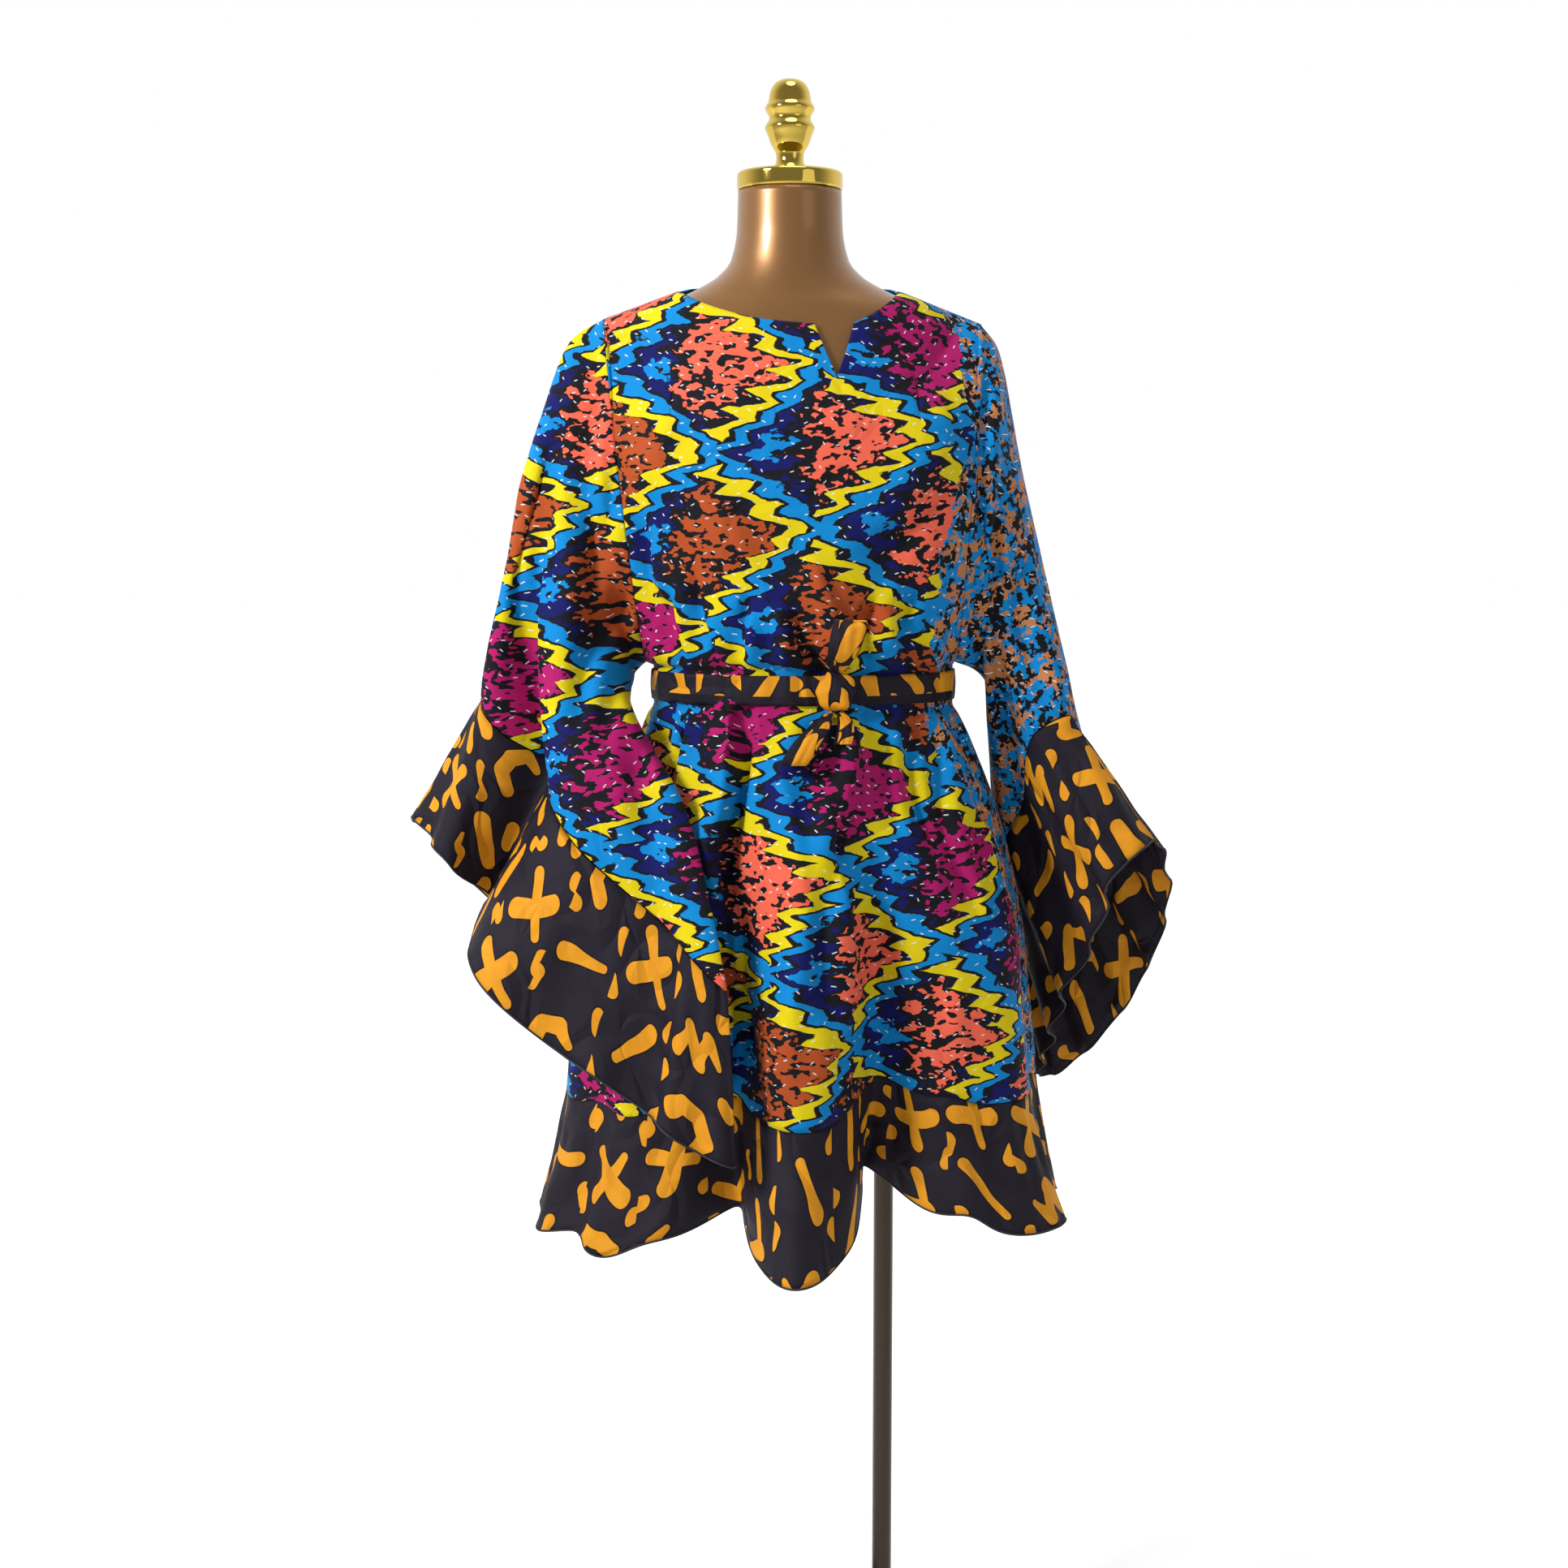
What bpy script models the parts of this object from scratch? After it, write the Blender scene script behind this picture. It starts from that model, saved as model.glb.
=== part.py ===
"""A short wide-sleeved boubou with ruffles and a tie belt, worn on a limbless dress form on its stand.

Metres, +Z up. The origin is the centre of the stand's base plate, on the floor. The front faces -Y.
Right and left are the wearer's: the right sleeve is on the -X side, the left sleeve on the +X side.
Every piece of cloth is a wall of WALL thickness, made from an open surface of rows and columns.
"""
import math
from collections import namedtuple

import bmesh
import bpy
import numpy as np

# Driving sizes
WALL = 0.0015
SEAM_GAP = 0.0003
BELT_WALL = 0.0016
BELT_WIDTH = 0.030
BELT_TOP = 1.112
RUFFLE_GAP = 0.0015
SHOULDER_EASE = 0.0045
SHOULDER_GAP = 0.0009
NECK_EASE = 0.0028
NECK_DROP = 0.003
ARMHOLE_GAP = 0.0017
BELT_EASE = 0.0002

# Numbers of rows and columns
ARM_STEPS = 14
FRONT_COLUMNS = 36
BACK_COLUMNS = 28
SLEEVE_ROWS = 11
CUFF_SPLIT = 3
HEM_SPLIT = 2
RUFFLE_ROWS = 3

# The dress form, from the neck down. Half width, and depth in front of and behind the neck's axis.
Ring = namedtuple("Ring", "height half_width front back")
FORM = [
    Ring(1.6010, 0.0530, 0.0530, 0.0530),
    Ring(1.5600, 0.0545, 0.0545, 0.0545),
    Ring(1.5300, 0.0610, 0.0590, 0.0590),
    Ring(1.5130, 0.0760, 0.0620, 0.0630),
    Ring(1.5030, 0.0930, 0.0640, 0.0650),
    Ring(1.4950, 0.1100, 0.0660, 0.0670),
    Ring(1.4840, 0.1380, 0.0700, 0.0710),
    Ring(1.4680, 0.1640, 0.0750, 0.0770),
    Ring(1.4450, 0.1780, 0.0830, 0.0840),
    Ring(1.3900, 0.1760, 0.1010, 0.0900),
    Ring(1.3200, 0.1600, 0.1140, 0.0890),
    Ring(1.2500, 0.1430, 0.1080, 0.0840),
    Ring(1.1800, 0.1270, 0.0940, 0.0790),
    Ring(1.1000, 0.1170, 0.0860, 0.0760),
    Ring(1.0200, 0.1330, 0.0920, 0.0930),
    Ring(0.9300, 0.1560, 0.1000, 0.1120),
    Ring(0.8500, 0.1600, 0.1000, 0.1140),
    Ring(0.7700, 0.1480, 0.0920, 0.1020),
    Ring(0.7200, 0.1320, 0.0820, 0.0880),
    Ring(0.7120, 0.1260, 0.0770, 0.0820),
]
FORM_COLUMNS = 24

# The neckline, from the right neck point to the left, and the open notch in the front
NeckPoint = namedtuple("NeckPoint", "across height")
NECK_FRONT = [
    NeckPoint(-0.1150, 1.4995),
    NeckPoint(-0.1080, 1.4945),
    NeckPoint(-0.0940, 1.4860),
    NeckPoint(-0.0700, 1.4765),
    NeckPoint(-0.0350, 1.4670),
    NeckPoint(-0.0020, 1.4630),
    NeckPoint(0.0240, 1.4610),
    NeckPoint(0.0350, 1.4330),
    NeckPoint(0.0460, 1.4060),
    NeckPoint(0.0560, 1.4330),
    NeckPoint(0.0640, 1.4620),
    NeckPoint(0.0800, 1.4700),
    NeckPoint(0.0960, 1.4810),
    NeckPoint(0.1080, 1.4925),
    NeckPoint(0.1140, 1.4990),
]
NECK_BACK = [
    NeckPoint(-0.1150, 1.4995),
    NeckPoint(-0.0850, 1.5060),
    NeckPoint(-0.0450, 1.5135),
    NeckPoint(0.0000, 1.5160),
    NeckPoint(0.0450, 1.5135),
    NeckPoint(0.0850, 1.5060),
    NeckPoint(0.1140, 1.4990),
]
# The neckline's share of the panel's columns, and how soon the columns even out below the yoke
NECK_SHARE = 0.60
EVEN_OUT = 1.2

# Body sections below the yoke. Right and left are the edges, wrap is how far round the edges lie.
Section = namedtuple("Section", "height right left wrap front back")
BODY = [
    Section(1.360, -0.176, 0.187, 62, 0.1210, 0.0980),
    Section(1.270, -0.167, 0.182, 64, 0.1330, 0.1020),
    Section(1.190, -0.158, 0.177, 70, 0.1350, 0.1100),
    Section(1.145, -0.153, 0.174, 80, 0.1330, 0.1150),
    Section(1.128, -0.151, 0.172, 87, 0.1260, 0.1100),
    Section(1.117, -0.142, 0.170, 90, 0.1150, 0.1000),
    Section(1.077, -0.142, 0.170, 90, 0.1150, 0.1000),
    Section(1.064, -0.149, 0.177, 90, 0.1240, 0.1080),
    Section(1.030, -0.161, 0.193, 90, 0.1350, 0.1200),
    Section(0.950, -0.188, 0.223, 90, 0.1540, 0.1420),
    Section(0.850, -0.213, 0.246, 90, 0.1680, 0.1560),
    Section(0.750, -0.229, 0.257, 90, 0.1760, 0.1650),
    Section(0.680, -0.236, 0.264, 90, 0.1800, 0.1700),
]
SKIRT_HEIGHTS = [1.1165, 1.0775, 1.060, 1.015, 0.950, 0.880, 0.810, 0.740, 0.680]

# Skirt folds: angle from the middle, depth out of the cloth, half width, rise of the hem, all at the hem
Fold = namedtuple("Fold", "angle depth half_width rise")
FRONT_FOLDS = [
    Fold(-66, 0.012, 11, -0.008),
    Fold(-44, 0.010, 8, -0.012),
    Fold(-19, -0.036, 7, 0.010),
    Fold(-1, 0.036, 10, -0.008),
    Fold(21, -0.044, 9, 0.028),
    Fold(36, 0.006, 5, 0.010),
    Fold(54, 0.020, 12, 0.000),
    Fold(79, -0.010, 7, 0.006),
]
BACK_FOLDS = [
    Fold(-68, -0.008, 8, 0.006),
    Fold(-45, 0.014, 11, -0.006),
    Fold(-21, -0.016, 9, 0.010),
    Fold(2, 0.017, 11, -0.008),
    Fold(26, -0.015, 9, 0.008),
    Fold(48, 0.014, 11, -0.006),
    Fold(72, -0.008, 8, 0.005),
]
# Heights between which the folds open, and between which their hem rises
FOLD_HEIGHTS = (1.060, 0.740)
RISE_HEIGHTS = (0.95, 0.68)

# Gathers that the belt draws in, above and below it: how many all round, how uneven, how deep, and
# the height and reach of each band of them
GATHER_TURNS = 20
GATHER_WANDER = 0.084
GATHER_DEPTH = 0.0042
GATHER_BANDS = [(1.142, 0.020), (1.048, 0.024)]

# Sleeve sections from armhole to cuff. Outer is the fold over the arm, inner the fold under it, and
# turn_out and turn_in are how far the front layer's face turns there from the front towards the
# wearer's right, in degrees.
Sleeve = namedtuple("Sleeve", "along outer inner front back drop turn_out turn_in")
RIGHT_SLEEVE = [
    Sleeve(0.00, (-0.190, 0.000, 1.4720), (-0.150, 0.000, 1.1200), 0.074, 0.080, 0.000, 0, 0),
    Sleeve(0.12, (-0.222, -0.002, 1.4520), (-0.165, -0.011, 1.1080), 0.066, 0.074, 0.000, 6, -10),
    Sleeve(0.30, (-0.253, -0.010, 1.3720), (-0.167, -0.036, 1.0810), 0.054, 0.068, 0.000, 20, -25),
    Sleeve(0.50, (-0.283, -0.018, 1.2350), (-0.148, -0.084, 1.0460), 0.044, 0.058, 0.000, 30, -20),
    Sleeve(0.70, (-0.303, -0.024, 1.1400), (-0.110, -0.136, 0.9960), 0.038, 0.054, 0.000, 34, 0),
    Sleeve(0.85, (-0.311, -0.027, 1.1000), (-0.084, -0.178, 0.9120), 0.034, 0.048, 0.000, 35, 20),
    Sleeve(1.00, (-0.313, -0.028, 1.0840), (-0.062, -0.208, 0.8130), 0.033, 0.044, 0.000, 35, 30),
]
LEFT_SLEEVE = [
    Sleeve(0.00, (0.195, 0.000, 1.4670), (0.172, 0.000, 1.1200), 0.074, 0.080, 0.000, 0, 0),
    Sleeve(0.12, (0.215, -0.003, 1.4420), (0.202, 0.004, 1.1080), 0.068, 0.076, 0.002, 4, 4),
    Sleeve(0.30, (0.232, -0.012, 1.3400), (0.216, 0.022, 1.0760), 0.060, 0.072, 0.008, 18, 18),
    Sleeve(0.50, (0.252, -0.022, 1.2250), (0.224, 0.046, 1.0300), 0.052, 0.066, 0.018, 36, 36),
    Sleeve(0.70, (0.272, -0.031, 1.1300), (0.228, 0.074, 0.9800), 0.046, 0.062, 0.030, 50, 50),
    Sleeve(0.85, (0.283, -0.037, 1.0850), (0.237, 0.098, 0.9000), 0.043, 0.060, 0.036, 57, 57),
    Sleeve(1.00, (0.289, -0.040, 1.0630), (0.246, 0.122, 0.8150), 0.042, 0.060, 0.040, 60, 60),
]

# How closely the back layer follows the front one at the fold under the arm, as a share of its depth,
# where along the sleeve that sets in, and how much flatter the front layer lies there
HUG = {"right": 0.85, "left": 0.60}
HOLD_IN = (0.0, 0.20)
FRONT_FLATTEN = 0.30

# Folds of a sleeve: place from outer to inner on the front layer, depth at the cuff, rise of the cuff
SleeveFold = namedtuple("SleeveFold", "place depth half_width rise")
RIGHT_SLEEVE_FOLDS = [
    SleeveFold(0.10, 0.018, 0.10, 0.012),
    SleeveFold(0.25, -0.046, 0.07, 0.000),
    SleeveFold(0.50, 0.012, 0.12, 0.000),
    SleeveFold(0.78, -0.010, 0.09, 0.000),
]
LEFT_SLEEVE_FOLDS = [
    SleeveFold(0.12, 0.012, 0.12, 0.010),
    SleeveFold(0.38, -0.010, 0.10, 0.000),
]

SLEEVE_FOLDS_OPEN = (0.10, 0.95)

# Cuff ruffles: how far and which way the cloth falls from the seam, round from the outer fold
Fall = namedtuple("Fall", "turn across depth down")
RIGHT_CUFF = [
    Fall(0.000, -0.080, -0.008, -0.126),
    Fall(0.110, -0.040, -0.034, -0.138),
    Fall(0.170, -0.066, -0.004, -0.138),
    Fall(0.215, -0.088, -0.026, -0.138),
    Fall(0.290, -0.062, -0.034, -0.156),
    Fall(0.400, -0.018, -0.034, -0.166),
    Fall(0.500, 0.008, -0.028, -0.168),
    Fall(0.600, -0.012, -0.022, -0.166),
    Fall(0.720, -0.056, -0.018, -0.156),
    Fall(0.860, -0.084, 0.014, -0.138),
    Fall(1.000, -0.080, -0.008, -0.126),
]
LEFT_CUFF = [
    Fall(0.000, 0.088, -0.014, -0.126),
    Fall(0.120, 0.080, -0.046, -0.138),
    Fall(0.250, 0.066, -0.040, -0.148),
    Fall(0.380, 0.052, -0.010, -0.158),
    Fall(0.500, 0.036, 0.012, -0.168),
    Fall(0.620, 0.052, 0.030, -0.162),
    Fall(0.750, 0.078, 0.030, -0.148),
    Fall(0.880, 0.088, 0.018, -0.136),
    Fall(1.000, 0.088, -0.014, -0.126),
]
# Waves of the cuff's edge: how many, how deep, and the share of that depth left at the sleeve's folds
CUFF_WAVES = 14
CUFF_WAVE_DEPTH = 0.0085
CUFF_WAVE_LEAST = 0.2

# Hem ruffle: fall from the seam, flare of its edge, how much more the big folds open there, how much
# of their rise its edge keeps, and its waves all round
HEM_FALL = 0.126
HEM_FLARE = 0.024
HEM_OPENING = 1.15
HEM_RISE = 0.9
HEM_WAVES = 22
HEM_WAVE_DEPTH = 0.005

# Neck cap and finial: radius and height down the outside
Turn = namedtuple("Turn", "radius height")
CAP = [Turn(0.0, 1.6195), Turn(0.0520, 1.6195), Turn(0.0543, 1.6170), Turn(0.0543, 1.6040),
       Turn(0.0535, 1.6013), Turn(0.0, 1.6013)]
FINIAL = [
    Turn(0.0000, 1.7130), Turn(0.0090, 1.7120), Turn(0.0160, 1.7080), Turn(0.0200, 1.7010),
    Turn(0.0216, 1.6930), Turn(0.0222, 1.6890), Turn(0.0255, 1.6845), Turn(0.0252, 1.6810),
    Turn(0.0213, 1.6755), Turn(0.0213, 1.6715), Turn(0.0255, 1.6655), Turn(0.0252, 1.6620),
    Turn(0.0225, 1.6560), Turn(0.0195, 1.6470), Turn(0.0148, 1.6400), Turn(0.0140, 1.6370),
    Turn(0.0140, 1.6290), Turn(0.0175, 1.6235), Turn(0.0190, 1.6205), Turn(0.0190, 1.6198),
    Turn(0.0000, 1.6198),
]
TURNED_STEPS = 20

# Stand
POLE_X = 0.101
POLE_RADIUS = 0.0105
BASE_RADIUS = 0.180
BASE_HEIGHT = 0.009
BOSS_RADIUS = 0.021
BOSS_HEIGHT = 0.028
COLLAR_RADIUS = 0.024
COLLAR_HEIGHT = 0.016

# Bow: knot place and size, and the folded strips that leave it, each a little hollow across
KNOT_PLACE = (0.046, -0.1250, 1.0975)
KNOT_SIZE = (0.019, 0.0085, 0.021)
STRIP_WALL = 0.0013
STRIP_HOLLOW = 0.002
Strip = namedtuple("Strip", "across out up half_width")
BOW_LOOP = [
    Strip(0.047, 0.1255, 1.1192, 0.007), Strip(0.052, 0.1440, 1.1360, 0.015),
    Strip(0.057, 0.1500, 1.1560, 0.017), Strip(0.059, 0.1520, 1.1660, 0.017),
    Strip(0.059, 0.1580, 1.1690, 0.016), Strip(0.058, 0.1620, 1.1620, 0.016),
    Strip(0.053, 0.1560, 1.1400, 0.014), Strip(0.048, 0.1310, 1.1180, 0.007),
]
BOW_TAIL = [
    Strip(0.040, 0.1262, 1.0756, 0.005), Strip(0.028, 0.1440, 1.0620, 0.011),
    Strip(0.016, 0.1490, 1.0450, 0.015), Strip(0.007, 0.1510, 1.0320, 0.014),
    Strip(0.003, 0.1580, 1.0270, 0.013), Strip(0.008, 0.1630, 1.0340, 0.013),
    Strip(0.020, 0.1590, 1.0520, 0.012), Strip(0.031, 0.1510, 1.0650, 0.009),
    Strip(0.038, 0.1330, 1.0758, 0.005),
]
SHORT_TAIL = [
    Strip(0.052, 0.1262, 1.0758, 0.005), Strip(0.055, 0.1420, 1.0660, 0.008),
    Strip(0.054, 0.1470, 1.0560, 0.009), Strip(0.052, 0.1500, 1.0470, 0.009),
]

# Colour, roughness and metal of each finish
COLOURS = {
    "bronze_form": ((0.20, 0.095, 0.035), 0.30, 0.6),
    "polished_brass": ((0.80, 0.58, 0.20), 0.10, 1.0),
    "dark_bronze": ((0.06, 0.035, 0.02), 0.30, 0.9),
    "wax_print": ((0.08, 0.22, 0.50), 0.75, 0.0),
    "ruffle_print": ((0.05, 0.04, 0.06), 0.55, 0.0),
}


def through(keys, rows, at):
    """A smooth curve through rows of values at rising keys, read at each of at, with no overshoot."""
    keys = np.asarray(keys, float)
    rows = np.asarray(rows, float)
    at = np.clip(np.asarray(at, float), keys[0], keys[-1])
    chord = np.diff(rows, axis=0) / np.diff(keys)[:, None]
    slopes = np.zeros_like(rows)
    same = chord[1:] * chord[:-1] > 0
    middle = 2 * chord[1:] * chord[:-1] / np.where(same, chord[1:] + chord[:-1], 1)
    slopes[1:-1] = np.where(same, middle, 0)
    slopes[0], slopes[-1] = chord[0], chord[-1]
    k = np.clip(np.searchsorted(keys, at, side="right") - 1, 0, len(keys) - 2)
    step = (keys[k + 1] - keys[k])[..., None]
    f = (at - keys[k])[..., None] / step
    ease = f * f * (3 - 2 * f)
    swing = f * (1 - f) ** 2 * slopes[k] - f * f * (1 - f) * slopes[k + 1]
    return rows[k] * (1 - ease) + rows[k + 1] * ease + step * swing


def by_height(table, height, names):
    """Columns of a table that runs downwards, at a height."""
    rows = [[getattr(row, name) for name in names] for row in reversed(table)]
    return through([row.height for row in reversed(table)], rows, height)


def ramp(value, start, full):
    """0 at start and 1 at full, easing between."""
    f = np.clip((value - start) / (full - start), 0, 1)
    return f * f * (3 - 2 * f)


def form_depth(across, height, column):
    """How far the dress form reaches in front of or behind its axis, a little below a height."""
    half_width, depth = np.moveaxis(by_height(FORM, height, ("half_width", column)), -1, 0)
    return depth * np.sqrt(np.clip(1 - (across / half_width) ** 2, 0, 1))


def arm_places():
    """Places down an armhole, 0 at the shoulder and 1 under the arm, closest at its ends."""
    return (1 - np.cos(np.linspace(0, math.pi, ARM_STEPS + 1))) / 2


def arm_edge(sleeve, place, column):
    """The armhole's edge on the front or back panel."""
    first = sleeve[0]
    outer, inner = np.array(first.outer), np.array(first.inner)
    point = outer + (inner - outer) * place
    sign = -1 if column == "front" else 1
    point[1] += sign * getattr(first, column) * math.sqrt(4 * place * (1 - place))
    return point


def top_edge(column):
    """Points along the shoulder seams and the neckline, and where each lies from -1 to 1."""
    neck = NECK_FRONT if column == "front" else NECK_BACK
    sign = -1 if column == "front" else 1
    columns = FRONT_COLUMNS if column == "front" else BACK_COLUMNS
    beside = (columns - (len(neck) - 1)) // 2
    right_tip, left_tip = np.array(RIGHT_SLEEVE[0].outer), np.array(LEFT_SLEEVE[0].outer)
    line = []
    for point in neck:
        depth = form_depth(point.across, point.height - NECK_DROP, column)
        at_shoulder = point in (neck[0], neck[-1])
        depth = SHOULDER_GAP / 2 if at_shoulder else depth + NECK_EASE
        line.append(np.array([point.across, sign * depth, point.height]))
    seam = np.array([0, sign * SHOULDER_GAP / 2, 0])
    right = [right_tip + seam + (line[0] - right_tip - seam) * k / beside for k in range(beside)]
    left = [line[-1] + (left_tip + seam - line[-1]) * k / beside for k in range(1, beside + 1)]
    places = np.concatenate([
        np.linspace(-1, -NECK_SHARE, beside, endpoint=False),
        np.interp([p.across for p in neck], [neck[0].across, neck[-1].across], [-NECK_SHARE, NECK_SHARE]),
        np.linspace(NECK_SHARE, 1, beside + 1)[1:],
    ])
    return np.array(right + line + left), places


def gathers(angle, height):
    """How far the gathers stand out of the cloth beside the belt."""
    wander = angle + GATHER_WANDER * np.sin(3 * angle + 1)
    band = sum(np.exp(-((height - middle) / width) ** 2) for middle, width in GATHER_BANDS)
    return GATHER_DEPTH * band * np.cos(GATHER_TURNS * wander)


def fold_sum(folds, angle, part):
    """Depth or rise of all the folds, at an angle in degrees from the middle of the panel."""
    return sum(getattr(f, part) * np.exp(-((angle - f.angle) / f.half_width) ** 2) for f in folds)


def body_row(column, height, places, edges):
    """One row of the front or back panel, edge to edge at one height."""
    wrap, middle = by_height(BODY, height, ("wrap", column))
    sign = -1 if column == "front" else 1
    folds = FRONT_FOLDS if column == "front" else BACK_FOLDS
    wrap = math.radians(wrap)
    right, left = edges
    share = (np.cos(wrap * places) - math.cos(wrap)) / (1 - math.cos(wrap))
    sweep = (np.sin(wrap * places) / math.sin(wrap) + 1) / 2
    row = right + (left - right) * sweep[:, None]
    row[:, 1] += (sign * middle - row[:, 1]) * share
    angle = wrap * places
    out = np.stack([np.sin(angle), sign * np.cos(angle), np.zeros_like(angle)], 1)
    grow = ramp(height, *FOLD_HEIGHTS)
    depth = fold_sum(folds, np.degrees(angle), "depth") * grow
    turn = angle if column == "front" else math.pi - angle
    row += out * (depth + gathers(turn, height) * (1 - np.abs(places) ** 6))[:, None]
    row[:, 2] = height + fold_sum(folds, np.degrees(angle), "rise") * ramp(height, *RISE_HEIGHTS)
    return row


def seam_edges(column, height):
    """The side seams' points at a height below the arms, half a seam gap in from the middle."""
    right, left = by_height(BODY, height, ("right", "left"))
    sign = -1 if column == "front" else 1
    shift = sign * SEAM_GAP / 2
    return np.array([right, shift, height]), np.array([left, shift, height])


def body_panel(column):
    """Rows of the front or back panel from the shoulders to the hem seam."""
    top, places = top_edge(column)
    sign = -1 if column == "front" else 1
    even = np.linspace(-1, 1, len(places))
    yoke_end = BODY[0].height
    first_arm = [s[0] for s in (RIGHT_SLEEVE, LEFT_SLEEVE)]
    rows = [top]
    for place in arm_places()[1:]:
        edges = [arm_edge(s, place, column) for s in (RIGHT_SLEEVE, LEFT_SLEEVE)]
        heights = [edge[2] for edge in edges]
        if place == 1:
            edges = [edge + [0, sign * SHOULDER_GAP / 2, 0] for edge in edges]
        middle = sum(heights) / 2
        down = (first_arm[0].outer[2] - middle) / (first_arm[0].outer[2] - yoke_end)
        if down >= 1:
            mix = places + (even - places) * min(1, (down - 1) / EVEN_OUT)
            row = body_row(column, middle, mix, edges)
            row[:, 2] = np.interp(mix, [-1, 0, 1], [heights[0], middle, heights[1]])
        else:
            yoke = [arm_edge(s, 0, column) for s in (RIGHT_SLEEVE, LEFT_SLEEVE)]
            whole = (first_arm[0].outer[2] - yoke_end) / (first_arm[0].outer[2] - first_arm[0].inner[2])
            lower = [arm_edge(s, whole, column) for s in (RIGHT_SLEEVE, LEFT_SLEEVE)]
            target = body_row(column, yoke_end, places, lower)
            row = top + (target - top) * down
            round_over = math.sqrt(down)
            on_shoulder = ramp(np.abs(places), NECK_SHARE * 0.75, 1)
            share = down + (round_over - down) * on_shoulder
            row[:, 1] = top[:, 1] + (target[:, 1] - top[:, 1]) * share
            clear = form_depth(row[:, 0], row[:, 2] - SHOULDER_EASE, column) + SHOULDER_EASE
            row[:, 1] = sign * np.maximum(np.abs(row[:, 1]), clear)
            row[0], row[-1] = edges
        rows.append(row)
    for height in SKIRT_HEIGHTS:
        rows.append(body_row(column, height, even, seam_edges(column, height)))
    return np.array(rows)


def sleeve_grid(sections, folds, hug, alongs, turns):
    """Rows of closed rings round a sleeve, at each share along it and each turn from its outer fold."""
    flat = [[*s.outer, *s.inner, s.front, s.back, s.drop, s.turn_out, s.turn_in] for s in sections]
    place = (1 - np.cos(2 * math.pi * turns)) / 2
    swell = np.abs(np.sin(2 * math.pi * turns))
    on_front = turns <= 0.5
    rows = []
    for along, values in zip(alongs, through([s.along for s in sections], flat, alongs)):
        outer, inner = values[:3], values[3:6]
        front, back, drop, turn_out, turn_in = values[6:]
        closing = ramp(along, *HOLD_IN)
        held_in = 1 - hug * closing * place
        flatten = 1 - FRONT_FLATTEN * closing * ramp(place, 0.5, 1)
        depth = np.where(on_front, front * flatten, -back * held_in) * swell
        grow = ramp(along, *SLEEVE_FOLDS_OPEN)
        for fold in folds:
            bump = np.exp(-((place - fold.place) / fold.half_width) ** 2) * np.where(on_front, 1, 0)
            depth = depth + fold.depth * grow * bump * np.minimum(1, 2 * swell)
        ring = outer + (inner - outer) * place[:, None]
        facing = np.radians(turn_out + (turn_in - turn_out) * place ** 2)
        ring = ring + np.stack([-np.sin(facing), -np.cos(facing), 0 * facing], 1) * depth[:, None]
        lift = sum(f.rise * np.exp(-((place - f.place) / f.half_width) ** 2) for f in folds)
        ring[:, 2] += np.where(on_front, lift * grow, -drop * swell)
        rows.append(ring)
    rows = np.array(rows)
    rows[0, :, 0] += math.copysign(ARMHOLE_GAP, sections[0].outer[0])
    return rows


def sleeve_turns():
    """Turns round a sleeve whose points meet the armhole's points."""
    return np.arange(2 * ARM_STEPS) / (2 * ARM_STEPS)


def split_row(row, parts, around):
    """A row of points with each stretch cut into equal parts, along its straight edges."""
    ends = np.roll(row, -1, axis=0) if around else row[1:]
    starts = row if around else row[:-1]
    shares = np.arange(parts) / parts
    points = (starts[:, None] + (ends - starts)[:, None] * shares[:, None]).reshape(-1, 3)
    return points if around else np.vstack([points, row[-1]])


def wave(turn, count, phase):
    """An uneven wave, count waves to a full turn."""
    return np.cos(2 * math.pi * count * turn + phase + 0.9 * np.sin(4 * math.pi * turn + phase))


def cuff_ruffle(cuff, falls, phase):
    """Rows of a cuff ruffle, from the sleeve's last ring to its waved edge."""
    seam = split_row(cuff, CUFF_SPLIT, True)
    turns = np.arange(len(seam)) / len(seam)
    fall = through([f.turn for f in falls], [[f.across, f.depth, f.down] for f in falls], turns)
    side = np.roll(seam, -1, axis=0) - np.roll(seam, 1, axis=0)
    out = np.cross(side, fall)
    out /= np.linalg.norm(out, axis=1)[:, None]
    spread = CUFF_WAVE_LEAST + (1 - CUFF_WAVE_LEAST) * np.abs(np.sin(2 * math.pi * turns))
    rows = []
    for share in np.linspace(0, 1, RUFFLE_ROWS + 1):
        reach = RUFFLE_GAP / np.linalg.norm(fall, axis=1)[:, None] + share
        swing = CUFF_WAVE_DEPTH * share ** 1.2 * wave(turns, CUFF_WAVES, phase) * spread
        rows.append(seam + fall * reach + out * swing[:, None])
    return np.array(rows)


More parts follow.
